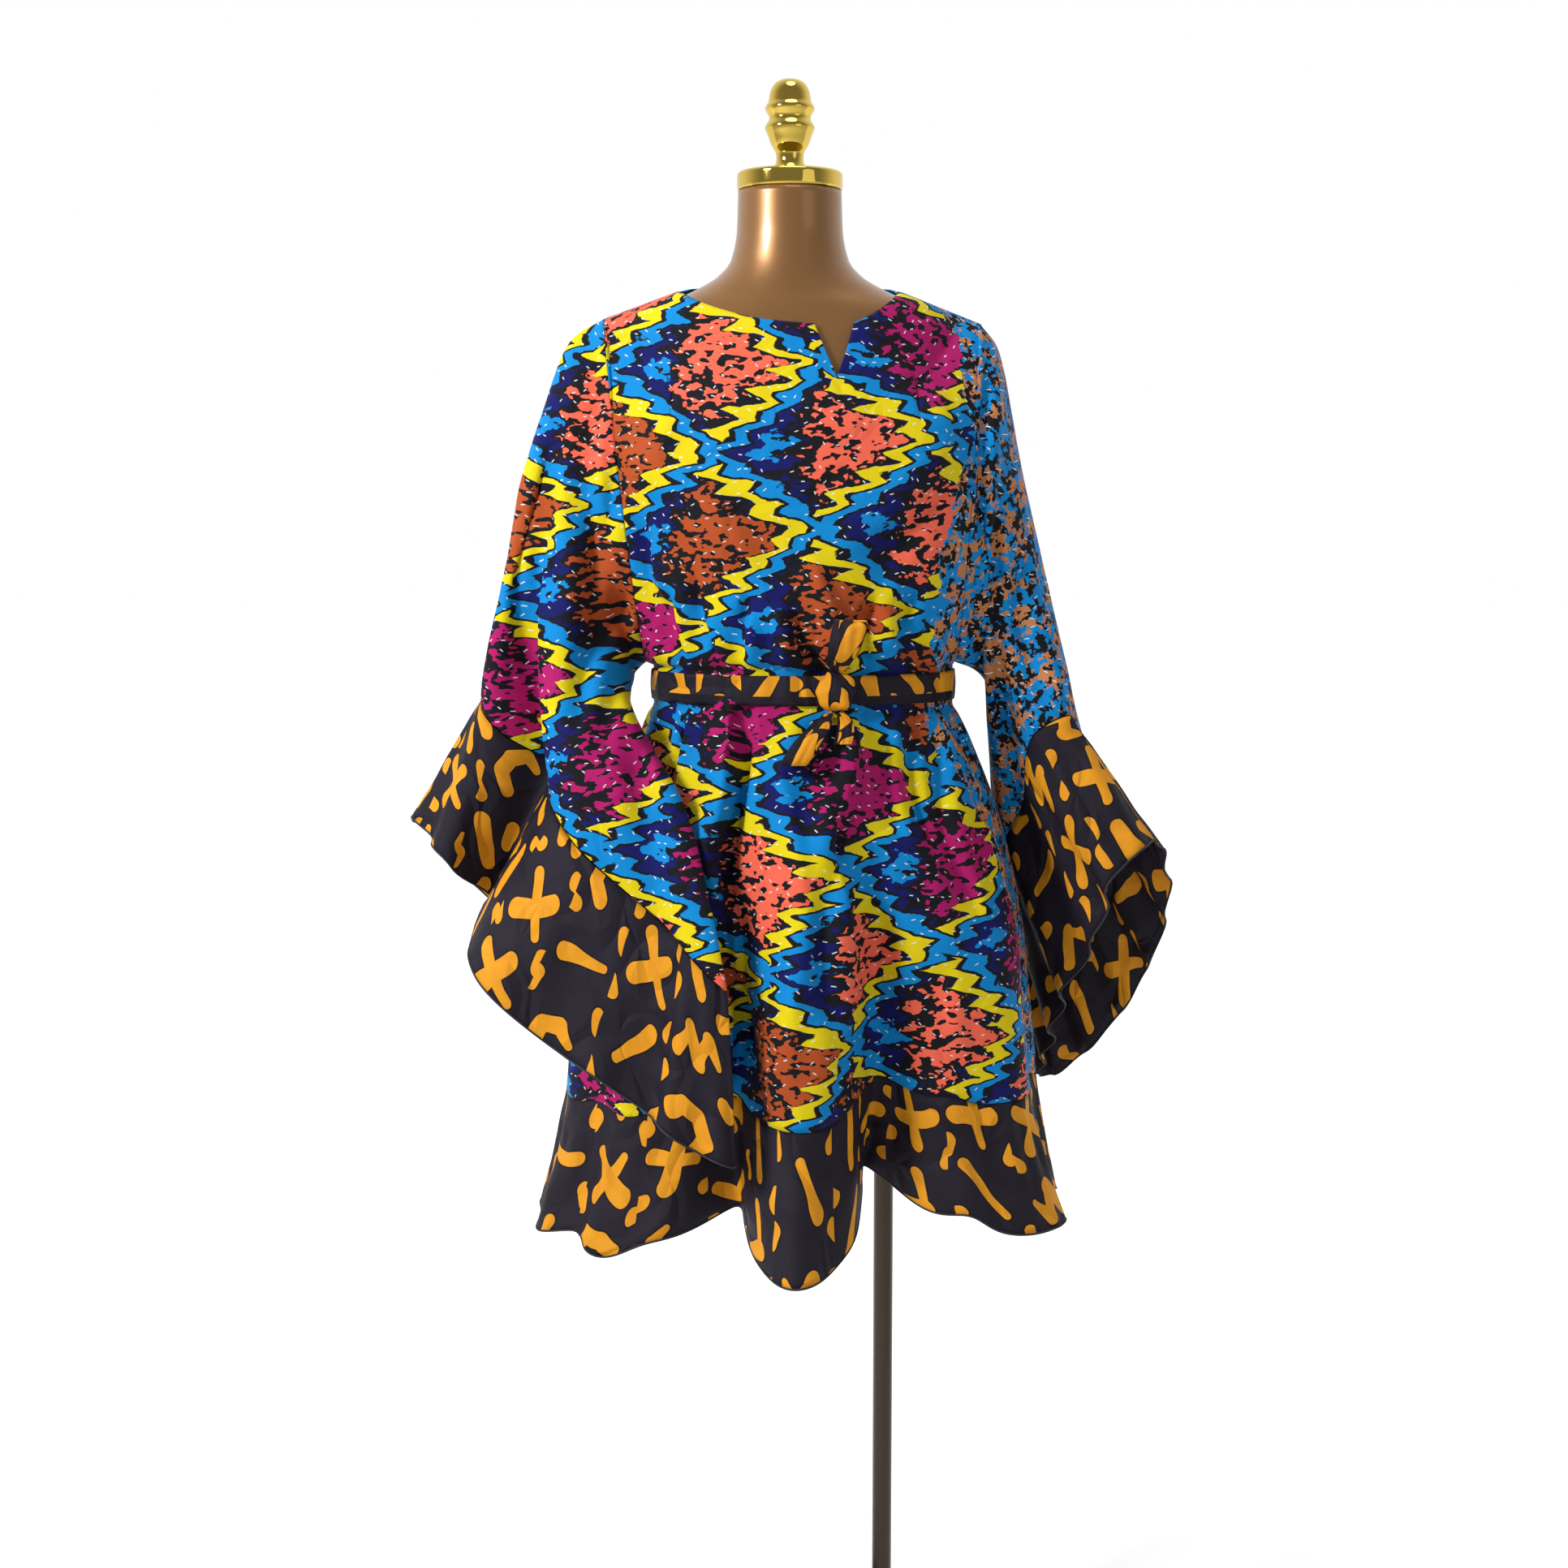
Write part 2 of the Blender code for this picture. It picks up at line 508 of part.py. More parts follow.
def hem_ruffle(panel, column):
    """Rows of the hem ruffle below one body panel."""
    seam = split_row(panel[-1], HEM_SPLIT, False)
    sign = -1 if column == "front" else 1
    folds = FRONT_FOLDS if column == "front" else BACK_FOLDS
    angle = np.linspace(-math.pi / 2, math.pi / 2, len(seam))
    out = np.stack([np.sin(angle), sign * np.cos(angle), np.zeros_like(angle)], 1)
    depth = fold_sum(folds, np.degrees(angle), "depth") * HEM_OPENING
    rise = fold_sum(folds, np.degrees(angle), "rise") * HEM_RISE
    turn = angle / (2 * math.pi) if column == "front" else 0.5 - angle / (2 * math.pi)
    rows = []
    for share in np.linspace(0, 1, RUFFLE_ROWS + 1):
        grow = share ** 1.3
        wavy = HEM_WAVE_DEPTH * share * wave(turn, HEM_WAVES, 0.6) * np.cos(angle) ** 0.5
        row = seam + out * (HEM_FLARE * grow + depth * grow + wavy)[:, None]
        row[:, 2] -= RUFFLE_GAP + (HEM_FALL - rise) * share
        rows.append(row)
    return np.array(rows)


def ribbon(strips):
    """Rows across a narrow folded strip of cloth that follows a path."""
    rows = []
    for strip in strips:
        middle = np.array([strip.across, -strip.out, strip.up])
        rows.append([middle + [strip.half_width * k, STRIP_HOLLOW * abs(k), 0] for k in (-1, 0, 1)])
    return np.array(rows)


def belt_band(front, back):
    """Rows of the belt, moved out from the body's points below and above its middle."""
    behind = ARM_STEPS + 1
    ring = np.vstack([front[behind], back[behind][::-1]])
    middle = ring.mean(axis=0)
    side = np.roll(ring, -1, axis=0) - np.roll(ring, 1, axis=0)
    out = np.stack([side[:, 1], -side[:, 0], np.zeros(len(side))], 1)
    out /= np.linalg.norm(out, axis=1)[:, None]
    if (out * (ring - middle)).sum() < 0:
        out = -out
    ring = ring + out * (WALL / 2 + SEAM_GAP + BELT_WALL / 2 + BELT_EASE)
    rows = []
    for height in (BELT_TOP, BELT_TOP - BELT_WIDTH):
        level = ring.copy()
        level[:, 2] = height
        rows.append(level)
    return np.array(rows)


def material(name):
    """A Principled material from the table of colours."""
    colour, roughness, metallic = COLOURS[name]
    made = bpy.data.materials.new(name)
    made.use_nodes = True
    shader = made.node_tree.nodes["Principled BSDF"]
    shader.inputs["Base Color"].default_value = (*colour, 1)
    shader.inputs["Roughness"].default_value = roughness
    shader.inputs["Metallic"].default_value = metallic
    return made


def add_object(name, mesh, collection, finish):
    """Links a mesh as a named object with its material."""
    made = bpy.data.objects.new(name, mesh)
    mesh.materials.append(finish)
    collection.objects.link(made)
    return made


def grid_mesh(name, points, around):
    """An open mesh from rows of points, joined end to start when it goes around."""
    rows, columns = points.shape[:2]
    faces = []
    for j in range(rows - 1):
        for i in range(columns if around else columns - 1):
            k = (i + 1) % columns
            low, high = j * columns, (j + 1) * columns
            faces.append((low + i, high + i, high + k, low + k))
    mesh = bpy.data.meshes.new(name)
    mesh.from_pydata(points.reshape(-1, 3).tolist(), [], faces)
    mesh.shade_smooth()
    return mesh


def cloth(name, points, collection, finish, around=False, wall=WALL):
    """A wall of cloth from an open surface."""
    made = add_object(name, grid_mesh(name, points, around), collection, finish)
    solid = made.modifiers.new("Wall", "SOLIDIFY")
    solid.thickness = wall
    solid.offset = 0
    return made


def torso(collection, finish):
    """The dress form, lofted through its rings and closed at the neck and the base."""
    turns = np.arange(FORM_COLUMNS) / FORM_COLUMNS * 2 * math.pi
    shape = bmesh.new()
    loops = []
    for ring in FORM:
        depth = np.where(np.sin(turns) < 0, ring.front, ring.back)
        loop = [shape.verts.new((ring.half_width * math.cos(t), d * math.sin(t), ring.height))
                for t, d in zip(turns, depth)]
        loops.append(loop)
    for upper, lower in zip(loops, loops[1:]):
        for i in range(FORM_COLUMNS):
            k = (i + 1) % FORM_COLUMNS
            shape.faces.new((upper[i], lower[i], lower[k], upper[k]))
    shape.faces.new(loops[0])
    shape.faces.new(list(reversed(loops[-1])))
    mesh = bpy.data.meshes.new("form_torso")
    shape.to_mesh(mesh)
    shape.free()
    mesh.shade_smooth()
    return add_object("form_torso", mesh, collection, finish)


def turned(name, profile, collection, finish):
    """A turned piece: a profile down its outer side, spun by a Screw modifier."""
    mesh = bpy.data.meshes.new(name)
    points = [(turn.radius, 0, turn.height) for turn in profile]
    mesh.from_pydata(points, [(i, i + 1) for i in range(len(points) - 1)], [])
    made = add_object(name, mesh, collection, finish)
    spin = made.modifiers.new("Turn", "SCREW")
    spin.steps = TURNED_STEPS
    spin.render_steps = TURNED_STEPS
    spin.use_merge_vertices = True
    spin.merge_threshold = 0.0001
    return made


def stand(collection, finish):
    """Pole, the collar that holds it under the form, and the round base with its boss."""
    under = FORM[-1].height - SEAM_GAP
    collar_low = under - COLLAR_HEIGHT
    pole_low = BASE_HEIGHT + BOSS_HEIGHT + SEAM_GAP
    collar = turned("pole_collar", [
        Turn(0, under), Turn(COLLAR_RADIUS, under), Turn(COLLAR_RADIUS, under - COLLAR_HEIGHT / 2),
        Turn(COLLAR_RADIUS * 0.7, collar_low), Turn(0, collar_low)], collection, finish)
    pole_top = collar_low - SEAM_GAP
    pole = turned("stand_pole", [
        Turn(0, pole_top), Turn(POLE_RADIUS, pole_top), Turn(POLE_RADIUS, pole_low), Turn(0, pole_low)],
        collection, finish)
    boss_low = BASE_HEIGHT + SEAM_GAP
    boss_high = boss_low + BOSS_HEIGHT - SEAM_GAP
    boss = turned("base_boss", [
        Turn(0, boss_high), Turn(BOSS_RADIUS * 0.75, boss_high), Turn(BOSS_RADIUS, boss_high - 0.006),
        Turn(BOSS_RADIUS, boss_low), Turn(0, boss_low)], collection, finish)
    for piece in (collar, pole, boss):
        piece.location.x = POLE_X
    turned("stand_base", [
        Turn(0, BASE_HEIGHT), Turn(BASE_RADIUS * 0.97, BASE_HEIGHT), Turn(BASE_RADIUS, BASE_HEIGHT * 0.5),
        Turn(BASE_RADIUS, 0), Turn(0, 0)], collection, finish)


def knot(collection, finish):
    """The knot of the belt, a flattened soft ball in front of the belt."""
    mesh = bpy.data.meshes.new("bow_knot")
    shape = bmesh.new()
    bmesh.ops.create_uvsphere(shape, u_segments=14, v_segments=8, radius=1)
    for vert in shape.verts:
        vert.co = [size * co + place for size, co, place in zip(KNOT_SIZE, vert.co, KNOT_PLACE)]
    shape.to_mesh(mesh)
    shape.free()
    mesh.shade_smooth()
    add_object("bow_knot", mesh, collection, finish)


def build():
    for old in list(bpy.data.objects):
        bpy.data.objects.remove(old)
    collection = bpy.data.collections.new("boubou_on_dress_form")
    bpy.context.scene.collection.children.link(collection)
    finish = {name: material(name) for name in COLOURS}
    torso(collection, finish["bronze_form"])
    turned("neck_cap", CAP, collection, finish["polished_brass"])
    turned("finial", FINIAL, collection, finish["polished_brass"])
    stand(collection, finish["dark_bronze"])
    front, back = body_panel("front"), body_panel("back")
    cloth("body_front", front, collection, finish["wax_print"])
    cloth("body_back", back, collection, finish["wax_print"])
    alongs = np.linspace(0, 1, SLEEVE_ROWS + 1)
    sides = [("right", RIGHT_SLEEVE, RIGHT_SLEEVE_FOLDS, RIGHT_CUFF, 0.4),
             ("left", LEFT_SLEEVE, LEFT_SLEEVE_FOLDS, LEFT_CUFF, 2.0)]
    for side, sections, folds, falls, phase in sides:
        rings = sleeve_grid(sections, folds, HUG[side], alongs, sleeve_turns())
        cloth(f"sleeve_{side}", rings, collection, finish["wax_print"], around=True)
        ruffle = cuff_ruffle(rings[-1], falls, phase)
        cloth(f"cuff_ruffle_{side}", ruffle, collection, finish["ruffle_print"], around=True)
    cloth("hem_ruffle_front", hem_ruffle(front, "front"), collection, finish["ruffle_print"])
    cloth("hem_ruffle_back", hem_ruffle(back, "back"), collection, finish["ruffle_print"])
    cloth("belt", belt_band(front, back), collection, finish["ruffle_print"], around=True, wall=BELT_WALL)
    knot(collection, finish["ruffle_print"])
    for name, strips in (("bow_loop", BOW_LOOP), ("bow_tail", BOW_TAIL), ("bow_short_tail", SHORT_TAIL)):
        cloth(name, ribbon(strips), collection, finish["ruffle_print"], wall=STRIP_WALL)


build()
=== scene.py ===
"""Looks of a short wide-sleeved boubou with ruffles and a tie belt, on a limbless dress form.

Metres, +Z up. The front faces -Y. Right and left are the wearer's. The cloth follows the same sections and
folds as the solids, at a finer step, with creases laid on it and prints worked out in cloth coordinates.
"""

import math
from collections import namedtuple

import bmesh
import bpy
import numpy as np
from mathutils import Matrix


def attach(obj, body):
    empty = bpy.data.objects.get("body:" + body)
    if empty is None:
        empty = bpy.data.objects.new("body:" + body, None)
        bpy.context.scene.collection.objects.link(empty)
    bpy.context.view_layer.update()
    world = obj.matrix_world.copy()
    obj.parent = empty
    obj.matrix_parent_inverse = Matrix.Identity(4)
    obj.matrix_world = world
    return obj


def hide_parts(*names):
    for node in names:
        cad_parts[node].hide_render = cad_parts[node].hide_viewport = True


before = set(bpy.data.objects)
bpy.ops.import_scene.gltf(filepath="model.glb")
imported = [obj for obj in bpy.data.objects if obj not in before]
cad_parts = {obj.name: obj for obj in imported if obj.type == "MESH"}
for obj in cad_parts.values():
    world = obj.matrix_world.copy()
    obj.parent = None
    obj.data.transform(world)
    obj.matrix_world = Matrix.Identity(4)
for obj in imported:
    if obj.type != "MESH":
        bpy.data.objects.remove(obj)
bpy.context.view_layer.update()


def table(kind, rows):
    """Named rows from plain ones."""
    return [kind(*row) for row in rows]


# Sizes of the solids, in metres
WALL = 0.0015
SEAM_GAP = 0.0003
BELT_WALL = 0.0016
BELT_WIDTH = 0.030
BELT_TOP = 1.112
RUFFLE_GAP = 0.0015
SHOULDER_EASE = 0.0045
SHOULDER_GAP = 0.0009
NECK_EASE = 0.0028
NECK_DROP = 0.003
ARMHOLE_GAP = 0.0006
BELT_EASE = 0.0002
STRIP_WALL = 0.0013

# Finer rows and columns than the solids have
ARM_STEPS = 84
NECK_PARTS = 5
PANEL_COLUMNS = {"front": 180, "back": 140}
SKIRT_PARTS = 8
FINE_SLEEVE_ROWS = 67
CUFF_SPLIT = 2
HEM_SPLIT = 2
RUFFLE_ROWS = 20
BELT_ROWS = 9
STRIP_STEPS = 60
STRIP_COLUMNS = 13
ROLL_SIDES = 8
FORM_ROWS = 150
FORM_TURNS = 120
LATHE_STEPS = 96
KNOT_ROWS, KNOT_COLUMNS = 25, 48

# Cloth thickness, the rolled edges, threads a metre, how strongly the creases below are laid, and how
# far each bows as a share of its length
SHELL_WALL = 0.0012
EDGE_RADIUS = 0.0012
THREADS = 1100
CREASE_STRENGTH = 1.3
CREASE_BOW = 0.06

# Small waves of all cloth, and a ruffle's small gathers: depth, and how far down it they end
CRUMPLE_DEPTH = 0.0016
PLEAT_DEPTH = 0.0014
PLEAT_END = 0.8

# The main print: zigzags along one side of a mesh and their depth as a share of it, the teeth on the
# bands, the outer edges of each band from the net's line, and where the mottled cloth starts to the
# wearer's left, how far it leans out below the belt and where it ends
ZIGZAGS = 4
ZIGZAG_DEPTH = 0.014
TOOTH = 0.0205
TOOTH_DEPTH = 0.0090
SIDE_START = 0.192
SIDE_SLANT = 0.70
SIDE_STEP = 0.085
SIDE_MOST = 0.300
BLUE_HALF = 0.0056
BLACK_HALF = 0.0098
YELLOW_HALF = 0.0222
PRINT_SOFT = 0.0006

# Pale dashes: step of their grid, length and thickness
DASH_STEP = 0.0115
DASH_LENGTH = 0.0036
DASH_THICK = 0.0009

# The ruffles' and the belt's marks: step of their grid and half their width, the black line round them,
# and the belt's bare edge
MARK_CELL = 0.080
MARK_HALF = 0.0080
BELT_MARK_CELL = 0.052
BELT_MARK_HALF = 0.0080
MARK_LINE = 0.0014
SELVEDGE = 0.0095

# How far a hem ruffle's gathered edge goes up behind the body's
SEAM_TUCK = 0.0014

# Least distance from a crease to the dress form
FORM_CLEAR = 0.0022

# Light: the sky before and behind the part, and the floor's glow behind it, each with the places along
# Y between which it eases
SKY_FRONT, SKY_BACK = 0.26, 1.0
SKY_SPAN = (-0.5, 0.6)
FLOOR_GLOW = 0.55
FLOOR_SPAN = (-0.3, 0.8)
FLOOR_HALF = 30.0
# Lamps: name, width, watts, place, and the point that each is turned to
LIGHTS = [
    ("key", 0.7, 77, (-2.0, -1.6, 2.4), (0, 0, 1.1)),
    ("fill", 1.6, 5, (1.9, -2.2, 1.6), (0, 0, 1.1)),
    ("top", 1.0, 12, (0.1, -0.3, 3.2), (0, 0, 1.2)),
]

# Colours, linear
YELLOW = (0.700, 0.560, 0.004)
CYAN = (0.000, 0.215, 0.560)
NAVY = (0.003, 0.005, 0.100)
BLACK = (0.0045, 0.0045, 0.0075)
CORAL = (0.800, 0.125, 0.070)
MAGENTA = (0.380, 0.006, 0.120)
RUST = (0.400, 0.068, 0.014)
TAN = (0.480, 0.190, 0.070)
PALE = (0.72, 0.76, 0.80)
AMBER = (0.720, 0.300, 0.015)
AMBER_DEEP = (0.480, 0.160, 0.010)
AUBERGINE = (0.0130, 0.0105, 0.0175)
AUBERGINE_LIGHT = (0.030, 0.023, 0.038)
THREAD = (0.012, 0.011, 0.016)
BRONZE = (0.262, 0.124, 0.040)
BRASS = (0.68, 0.48, 0.090)
DARK_PAINT = (0.045, 0.028, 0.016)
FLOOR_PAINT = (0.90, 0.90, 0.90)

# The photograph's camera: place, tilt down in degrees, focal length and side in pixels, and sensor in mm
CAMERA_PLACE = (-0.006, -2.40, 1.27)
CAMERA_TILT = 6.65
CAMERA_FOCAL = 2824
PHOTO_SIDE = 1932
SENSOR = 36

# The dress form, from the neck down. Half width, and depth in front of and behind the neck's axis.
Ring = namedtuple("Ring", "height half_width front back")
FORM = table(Ring, [
    (1.601, 0.053, 0.053, 0.053), (1.56, 0.0545, 0.0545, 0.0545), (1.53, 0.061, 0.059, 0.059),
    (1.513, 0.076, 0.062, 0.063), (1.503, 0.093, 0.064, 0.065), (1.495, 0.11, 0.066, 0.067),
    (1.484, 0.138, 0.07, 0.071), (1.468, 0.164, 0.075, 0.077), (1.445, 0.178, 0.083, 0.084),
    (1.39, 0.176, 0.101, 0.09), (1.32, 0.16, 0.114, 0.089), (1.25, 0.143, 0.108, 0.084),
    (1.18, 0.127, 0.094, 0.079), (1.1, 0.117, 0.086, 0.076), (1.02, 0.133, 0.092, 0.093),
    (0.93, 0.156, 0.1, 0.112), (0.85, 0.16, 0.1, 0.114), (0.77, 0.148, 0.092, 0.102),
    (0.72, 0.132, 0.082, 0.088), (0.712, 0.126, 0.077, 0.082),
])

# The neckline, from the right neck point to the left, and the open notch in the front
NeckPoint = namedtuple("NeckPoint", "across height")
NECK_FRONT = table(NeckPoint, [
    (-0.115, 1.4995), (-0.108, 1.4945), (-0.094, 1.486), (-0.07, 1.4765), (-0.035, 1.467), (-0.002, 1.463),
    (0.024, 1.461), (0.035, 1.433), (0.046, 1.406), (0.056, 1.433), (0.064, 1.462), (0.08, 1.47),
    (0.096, 1.481), (0.108, 1.4925), (0.114, 1.499),
])
NECK_BACK = table(NeckPoint, [
    (-0.115, 1.4995), (-0.085, 1.506), (-0.045, 1.5135), (0.0, 1.516), (0.045, 1.5135), (0.085, 1.506),
    (0.114, 1.499),
])
# The neckline's share of the panel's columns, and how soon the columns even out below the yoke
NECK_SHARE = 0.60
EVEN_OUT = 1.2

# Body sections below the yoke. Right and left are the edges, wrap is how far round the edges lie.
Section = namedtuple("Section", "height right left wrap front back")
BODY = table(Section, [
    (1.36, -0.176, 0.187, 62, 0.121, 0.098), (1.27, -0.167, 0.182, 64, 0.133, 0.102),
    (1.19, -0.158, 0.177, 70, 0.135, 0.11), (1.145, -0.153, 0.174, 80, 0.133, 0.115),
    (1.128, -0.151, 0.172, 87, 0.126, 0.11), (1.117, -0.142, 0.17, 90, 0.115, 0.1),
    (1.077, -0.142, 0.17, 90, 0.115, 0.1), (1.064, -0.149, 0.177, 90, 0.124, 0.108),
    (1.03, -0.161, 0.193, 90, 0.135, 0.12), (0.95, -0.188, 0.223, 90, 0.154, 0.142),
    (0.85, -0.213, 0.246, 90, 0.168, 0.156), (0.75, -0.229, 0.257, 90, 0.176, 0.165),
    (0.68, -0.236, 0.264, 90, 0.18, 0.17),
])
SKIRT_HEIGHTS = [1.1165, 1.0775, 1.060, 1.015, 0.950, 0.880, 0.810, 0.740, 0.680]
# Which way along Y each panel faces
SIGN = {"front": -1, "back": 1}

# Skirt folds: angle from the middle, depth out of the cloth, half width, rise of the hem, all at the hem
Fold = namedtuple("Fold", "angle depth half_width rise")
FRONT_FOLDS = table(Fold, [
    (-66, 0.012, 11, -0.008), (-44, 0.01, 8, -0.012), (-19, -0.036, 7, 0.01), (-1, 0.036, 10, -0.008),
    (21, -0.044, 9, 0.028), (36, 0.006, 5, 0.01), (54, 0.02, 12, 0.0), (79, -0.01, 7, 0.006),
])
BACK_FOLDS = table(Fold, [
    (-68, -0.008, 8, 0.006), (-45, 0.014, 11, -0.006), (-21, -0.016, 9, 0.01), (2, 0.017, 11, -0.008),
    (26, -0.015, 9, 0.008), (48, 0.014, 11, -0.006), (72, -0.008, 8, 0.005),
])
FOLDS = {"front": FRONT_FOLDS, "back": BACK_FOLDS}
# Heights between which the folds open, and between which their hem rises
FOLD_HEIGHTS = (1.060, 0.740)
RISE_HEIGHTS = (0.95, 0.68)

# Gathers that the belt draws in, above and below it: how many all round, how uneven, how deep, and
# the height and reach of each band of them
GATHER_TURNS = 20
GATHER_WANDER = 0.084
GATHER_DEPTH = 0.0042
GATHER_BANDS = [(1.142, 0.020), (1.048, 0.024)]

# Sleeve sections from armhole to cuff. Outer is the fold over the arm, inner the fold under it, and
# turn_out and turn_in are how far the front layer's face turns there from the front towards the
# wearer's right, in degrees.
Sleeve = namedtuple("Sleeve", "along outer inner front back drop turn_out turn_in")
RIGHT_SLEEVE = table(Sleeve, [
    (0.0, (-0.19, 0.0, 1.472), (-0.15, 0.0, 1.12), 0.074, 0.08, 0.0, 0, 0),
    (0.12, (-0.222, -0.002, 1.452), (-0.165, -0.011, 1.108), 0.066, 0.074, 0.0, 6, -10),
    (0.3, (-0.253, -0.01, 1.372), (-0.167, -0.036, 1.081), 0.054, 0.068, 0.0, 20, -25),
    (0.5, (-0.283, -0.018, 1.235), (-0.148, -0.084, 1.046), 0.044, 0.058, 0.0, 30, -20),
    (0.7, (-0.303, -0.024, 1.14), (-0.11, -0.136, 0.996), 0.038, 0.054, 0.0, 34, 0),
    (0.85, (-0.311, -0.027, 1.1), (-0.084, -0.178, 0.912), 0.034, 0.048, 0.0, 35, 20),
    (1.0, (-0.313, -0.028, 1.084), (-0.062, -0.208, 0.813), 0.033, 0.044, 0.0, 35, 30),
])
LEFT_SLEEVE = table(Sleeve, [
    (0.0, (0.195, 0.0, 1.467), (0.172, 0.0, 1.12), 0.074, 0.08, 0.0, 0, 0),
    (0.12, (0.215, -0.003, 1.442), (0.202, 0.004, 1.108), 0.068, 0.076, 0.002, 4, 4),
    (0.3, (0.232, -0.012, 1.34), (0.216, 0.022, 1.076), 0.06, 0.072, 0.008, 18, 18),
    (0.5, (0.252, -0.022, 1.225), (0.224, 0.046, 1.03), 0.052, 0.066, 0.018, 36, 36),
    (0.7, (0.272, -0.031, 1.13), (0.228, 0.074, 0.98), 0.046, 0.062, 0.03, 50, 50),
    (0.85, (0.283, -0.037, 1.085), (0.237, 0.098, 0.9), 0.043, 0.06, 0.036, 57, 57),
    (1.0, (0.289, -0.04, 1.063), (0.246, 0.122, 0.815), 0.042, 0.06, 0.04, 60, 60),
])

# How closely the back layer follows the front one at the fold under the arm, as a share of its depth,
# where along the sleeve that sets in, and how much flatter the front layer lies there
HUG = {"right": 0.85, "left": 0.60}
HOLD_IN = (0.0, 0.20)
FRONT_FLATTEN = 0.30

# Folds of a sleeve: place from outer to inner on the front layer, depth at the cuff, rise of the cuff
SleeveFold = namedtuple("SleeveFold", "place depth half_width rise")
RIGHT_SLEEVE_FOLDS = table(SleeveFold, [
    (0.1, 0.018, 0.1, 0.012), (0.25, -0.046, 0.07, 0.0), (0.5, 0.012, 0.12, 0.0), (0.78, -0.01, 0.09, 0.0),
])
LEFT_SLEEVE_FOLDS = table(SleeveFold, [
    (0.12, 0.012, 0.12, 0.01), (0.38, -0.01, 0.1, 0.0),
])
# Shares of the sleeve's length between which its folds open
SLEEVE_FOLDS_OPEN = (0.10, 0.95)

# Cuff ruffles: how far and which way the cloth falls from the seam, round from the outer fold
Fall = namedtuple("Fall", "turn across depth down")
RIGHT_CUFF = table(Fall, [
    (0.0, -0.08, -0.008, -0.126), (0.11, -0.04, -0.034, -0.138), (0.17, -0.066, -0.004, -0.138),
    (0.215, -0.088, -0.026, -0.138), (0.29, -0.062, -0.034, -0.156), (0.4, -0.018, -0.034, -0.166),
    (0.5, 0.008, -0.028, -0.168), (0.6, -0.012, -0.022, -0.166), (0.72, -0.056, -0.018, -0.156),
    (0.86, -0.084, 0.014, -0.138), (1.0, -0.08, -0.008, -0.126),
])
LEFT_CUFF = table(Fall, [
    (0.0, 0.088, -0.014, -0.126), (0.12, 0.08, -0.046, -0.138), (0.25, 0.066, -0.04, -0.148),
    (0.38, 0.052, -0.01, -0.158), (0.5, 0.036, 0.012, -0.168), (0.62, 0.052, 0.03, -0.162),
    (0.75, 0.078, 0.03, -0.148), (0.88, 0.088, 0.018, -0.136), (1.0, 0.088, -0.014, -0.126),
])
# Waves of the cuff's edge: how many, how deep, and the share of that depth left at the sleeve's folds
CUFF_WAVES = 14
CUFF_WAVE_DEPTH = 0.0085
CUFF_WAVE_LEAST = 0.2

# Hem ruffle: fall from the seam, flare of its edge, how much more the big folds open there, how much
# of their rise its edge keeps, and its waves all round
HEM_FALL = 0.126
HEM_FLARE = 0.024
HEM_OPENING = 1.15
HEM_RISE = 0.9
HEM_WAVES = 22
HEM_WAVE_DEPTH = 0.005

# Neck cap and finial: radius and height down the outside
Turn = namedtuple("Turn", "radius height")
CAP = table(Turn, [
    (0.0, 1.6195), (0.052, 1.6195), (0.0543, 1.617), (0.0543, 1.604), (0.0535, 1.6013), (0.0, 1.6013),
])
FINIAL = table(Turn, [
    (0.0, 1.713), (0.009, 1.712), (0.016, 1.708), (0.02, 1.701), (0.0216, 1.693), (0.0222, 1.689),
    (0.0255, 1.6845), (0.0252, 1.681), (0.0213, 1.6755), (0.0213, 1.6715), (0.0255, 1.6655),
    (0.0252, 1.662), (0.0225, 1.656), (0.0195, 1.647), (0.0148, 1.64), (0.014, 1.637), (0.014, 1.629),
    (0.0175, 1.6235), (0.019, 1.6205), (0.019, 1.6198), (0.0, 1.6198),
])

# Stand: the pole stands a little to the wearer's left of the form's middle
POLE_X = 0.101
POLE_RADIUS = 0.0105
BASE_RADIUS = 0.180
BASE_HEIGHT = 0.009
BOSS_RADIUS = 0.021
BOSS_HEIGHT = 0.028
COLLAR_RADIUS = 0.024
COLLAR_HEIGHT = 0.016

# Bow: knot place and size, the folded strips that leave it, and how far their edges curl in
KNOT_PLACE = (0.046, -0.1250, 1.0975)
KNOT_SIZE = (0.019, 0.0085, 0.021)
STRIP_CURL = 0.002
Strip = namedtuple("Strip", "across out up half_width")
BOW_LOOP = table(Strip, [
    (0.047, 0.1255, 1.1192, 0.007), (0.052, 0.144, 1.136, 0.015), (0.057, 0.15, 1.156, 0.017),
    (0.059, 0.152, 1.166, 0.017), (0.059, 0.158, 1.169, 0.016), (0.058, 0.162, 1.162, 0.016),
    (0.053, 0.156, 1.14, 0.014), (0.048, 0.131, 1.118, 0.007),
])
BOW_TAIL = table(Strip, [
    (0.04, 0.1262, 1.0756, 0.005), (0.028, 0.144, 1.062, 0.011), (0.016, 0.149, 1.045, 0.015),
    (0.007, 0.151, 1.032, 0.014), (0.003, 0.158, 1.027, 0.013), (0.008, 0.163, 1.034, 0.013),
    (0.02, 0.159, 1.052, 0.012), (0.031, 0.151, 1.065, 0.009), (0.038, 0.133, 1.0758, 0.005),
])
SHORT_TAIL = table(Strip, [
    (0.052, 0.1262, 1.0758, 0.005), (0.055, 0.142, 1.066, 0.008), (0.054, 0.147, 1.056, 0.009),
    (0.052, 0.15, 1.047, 0.009),
])


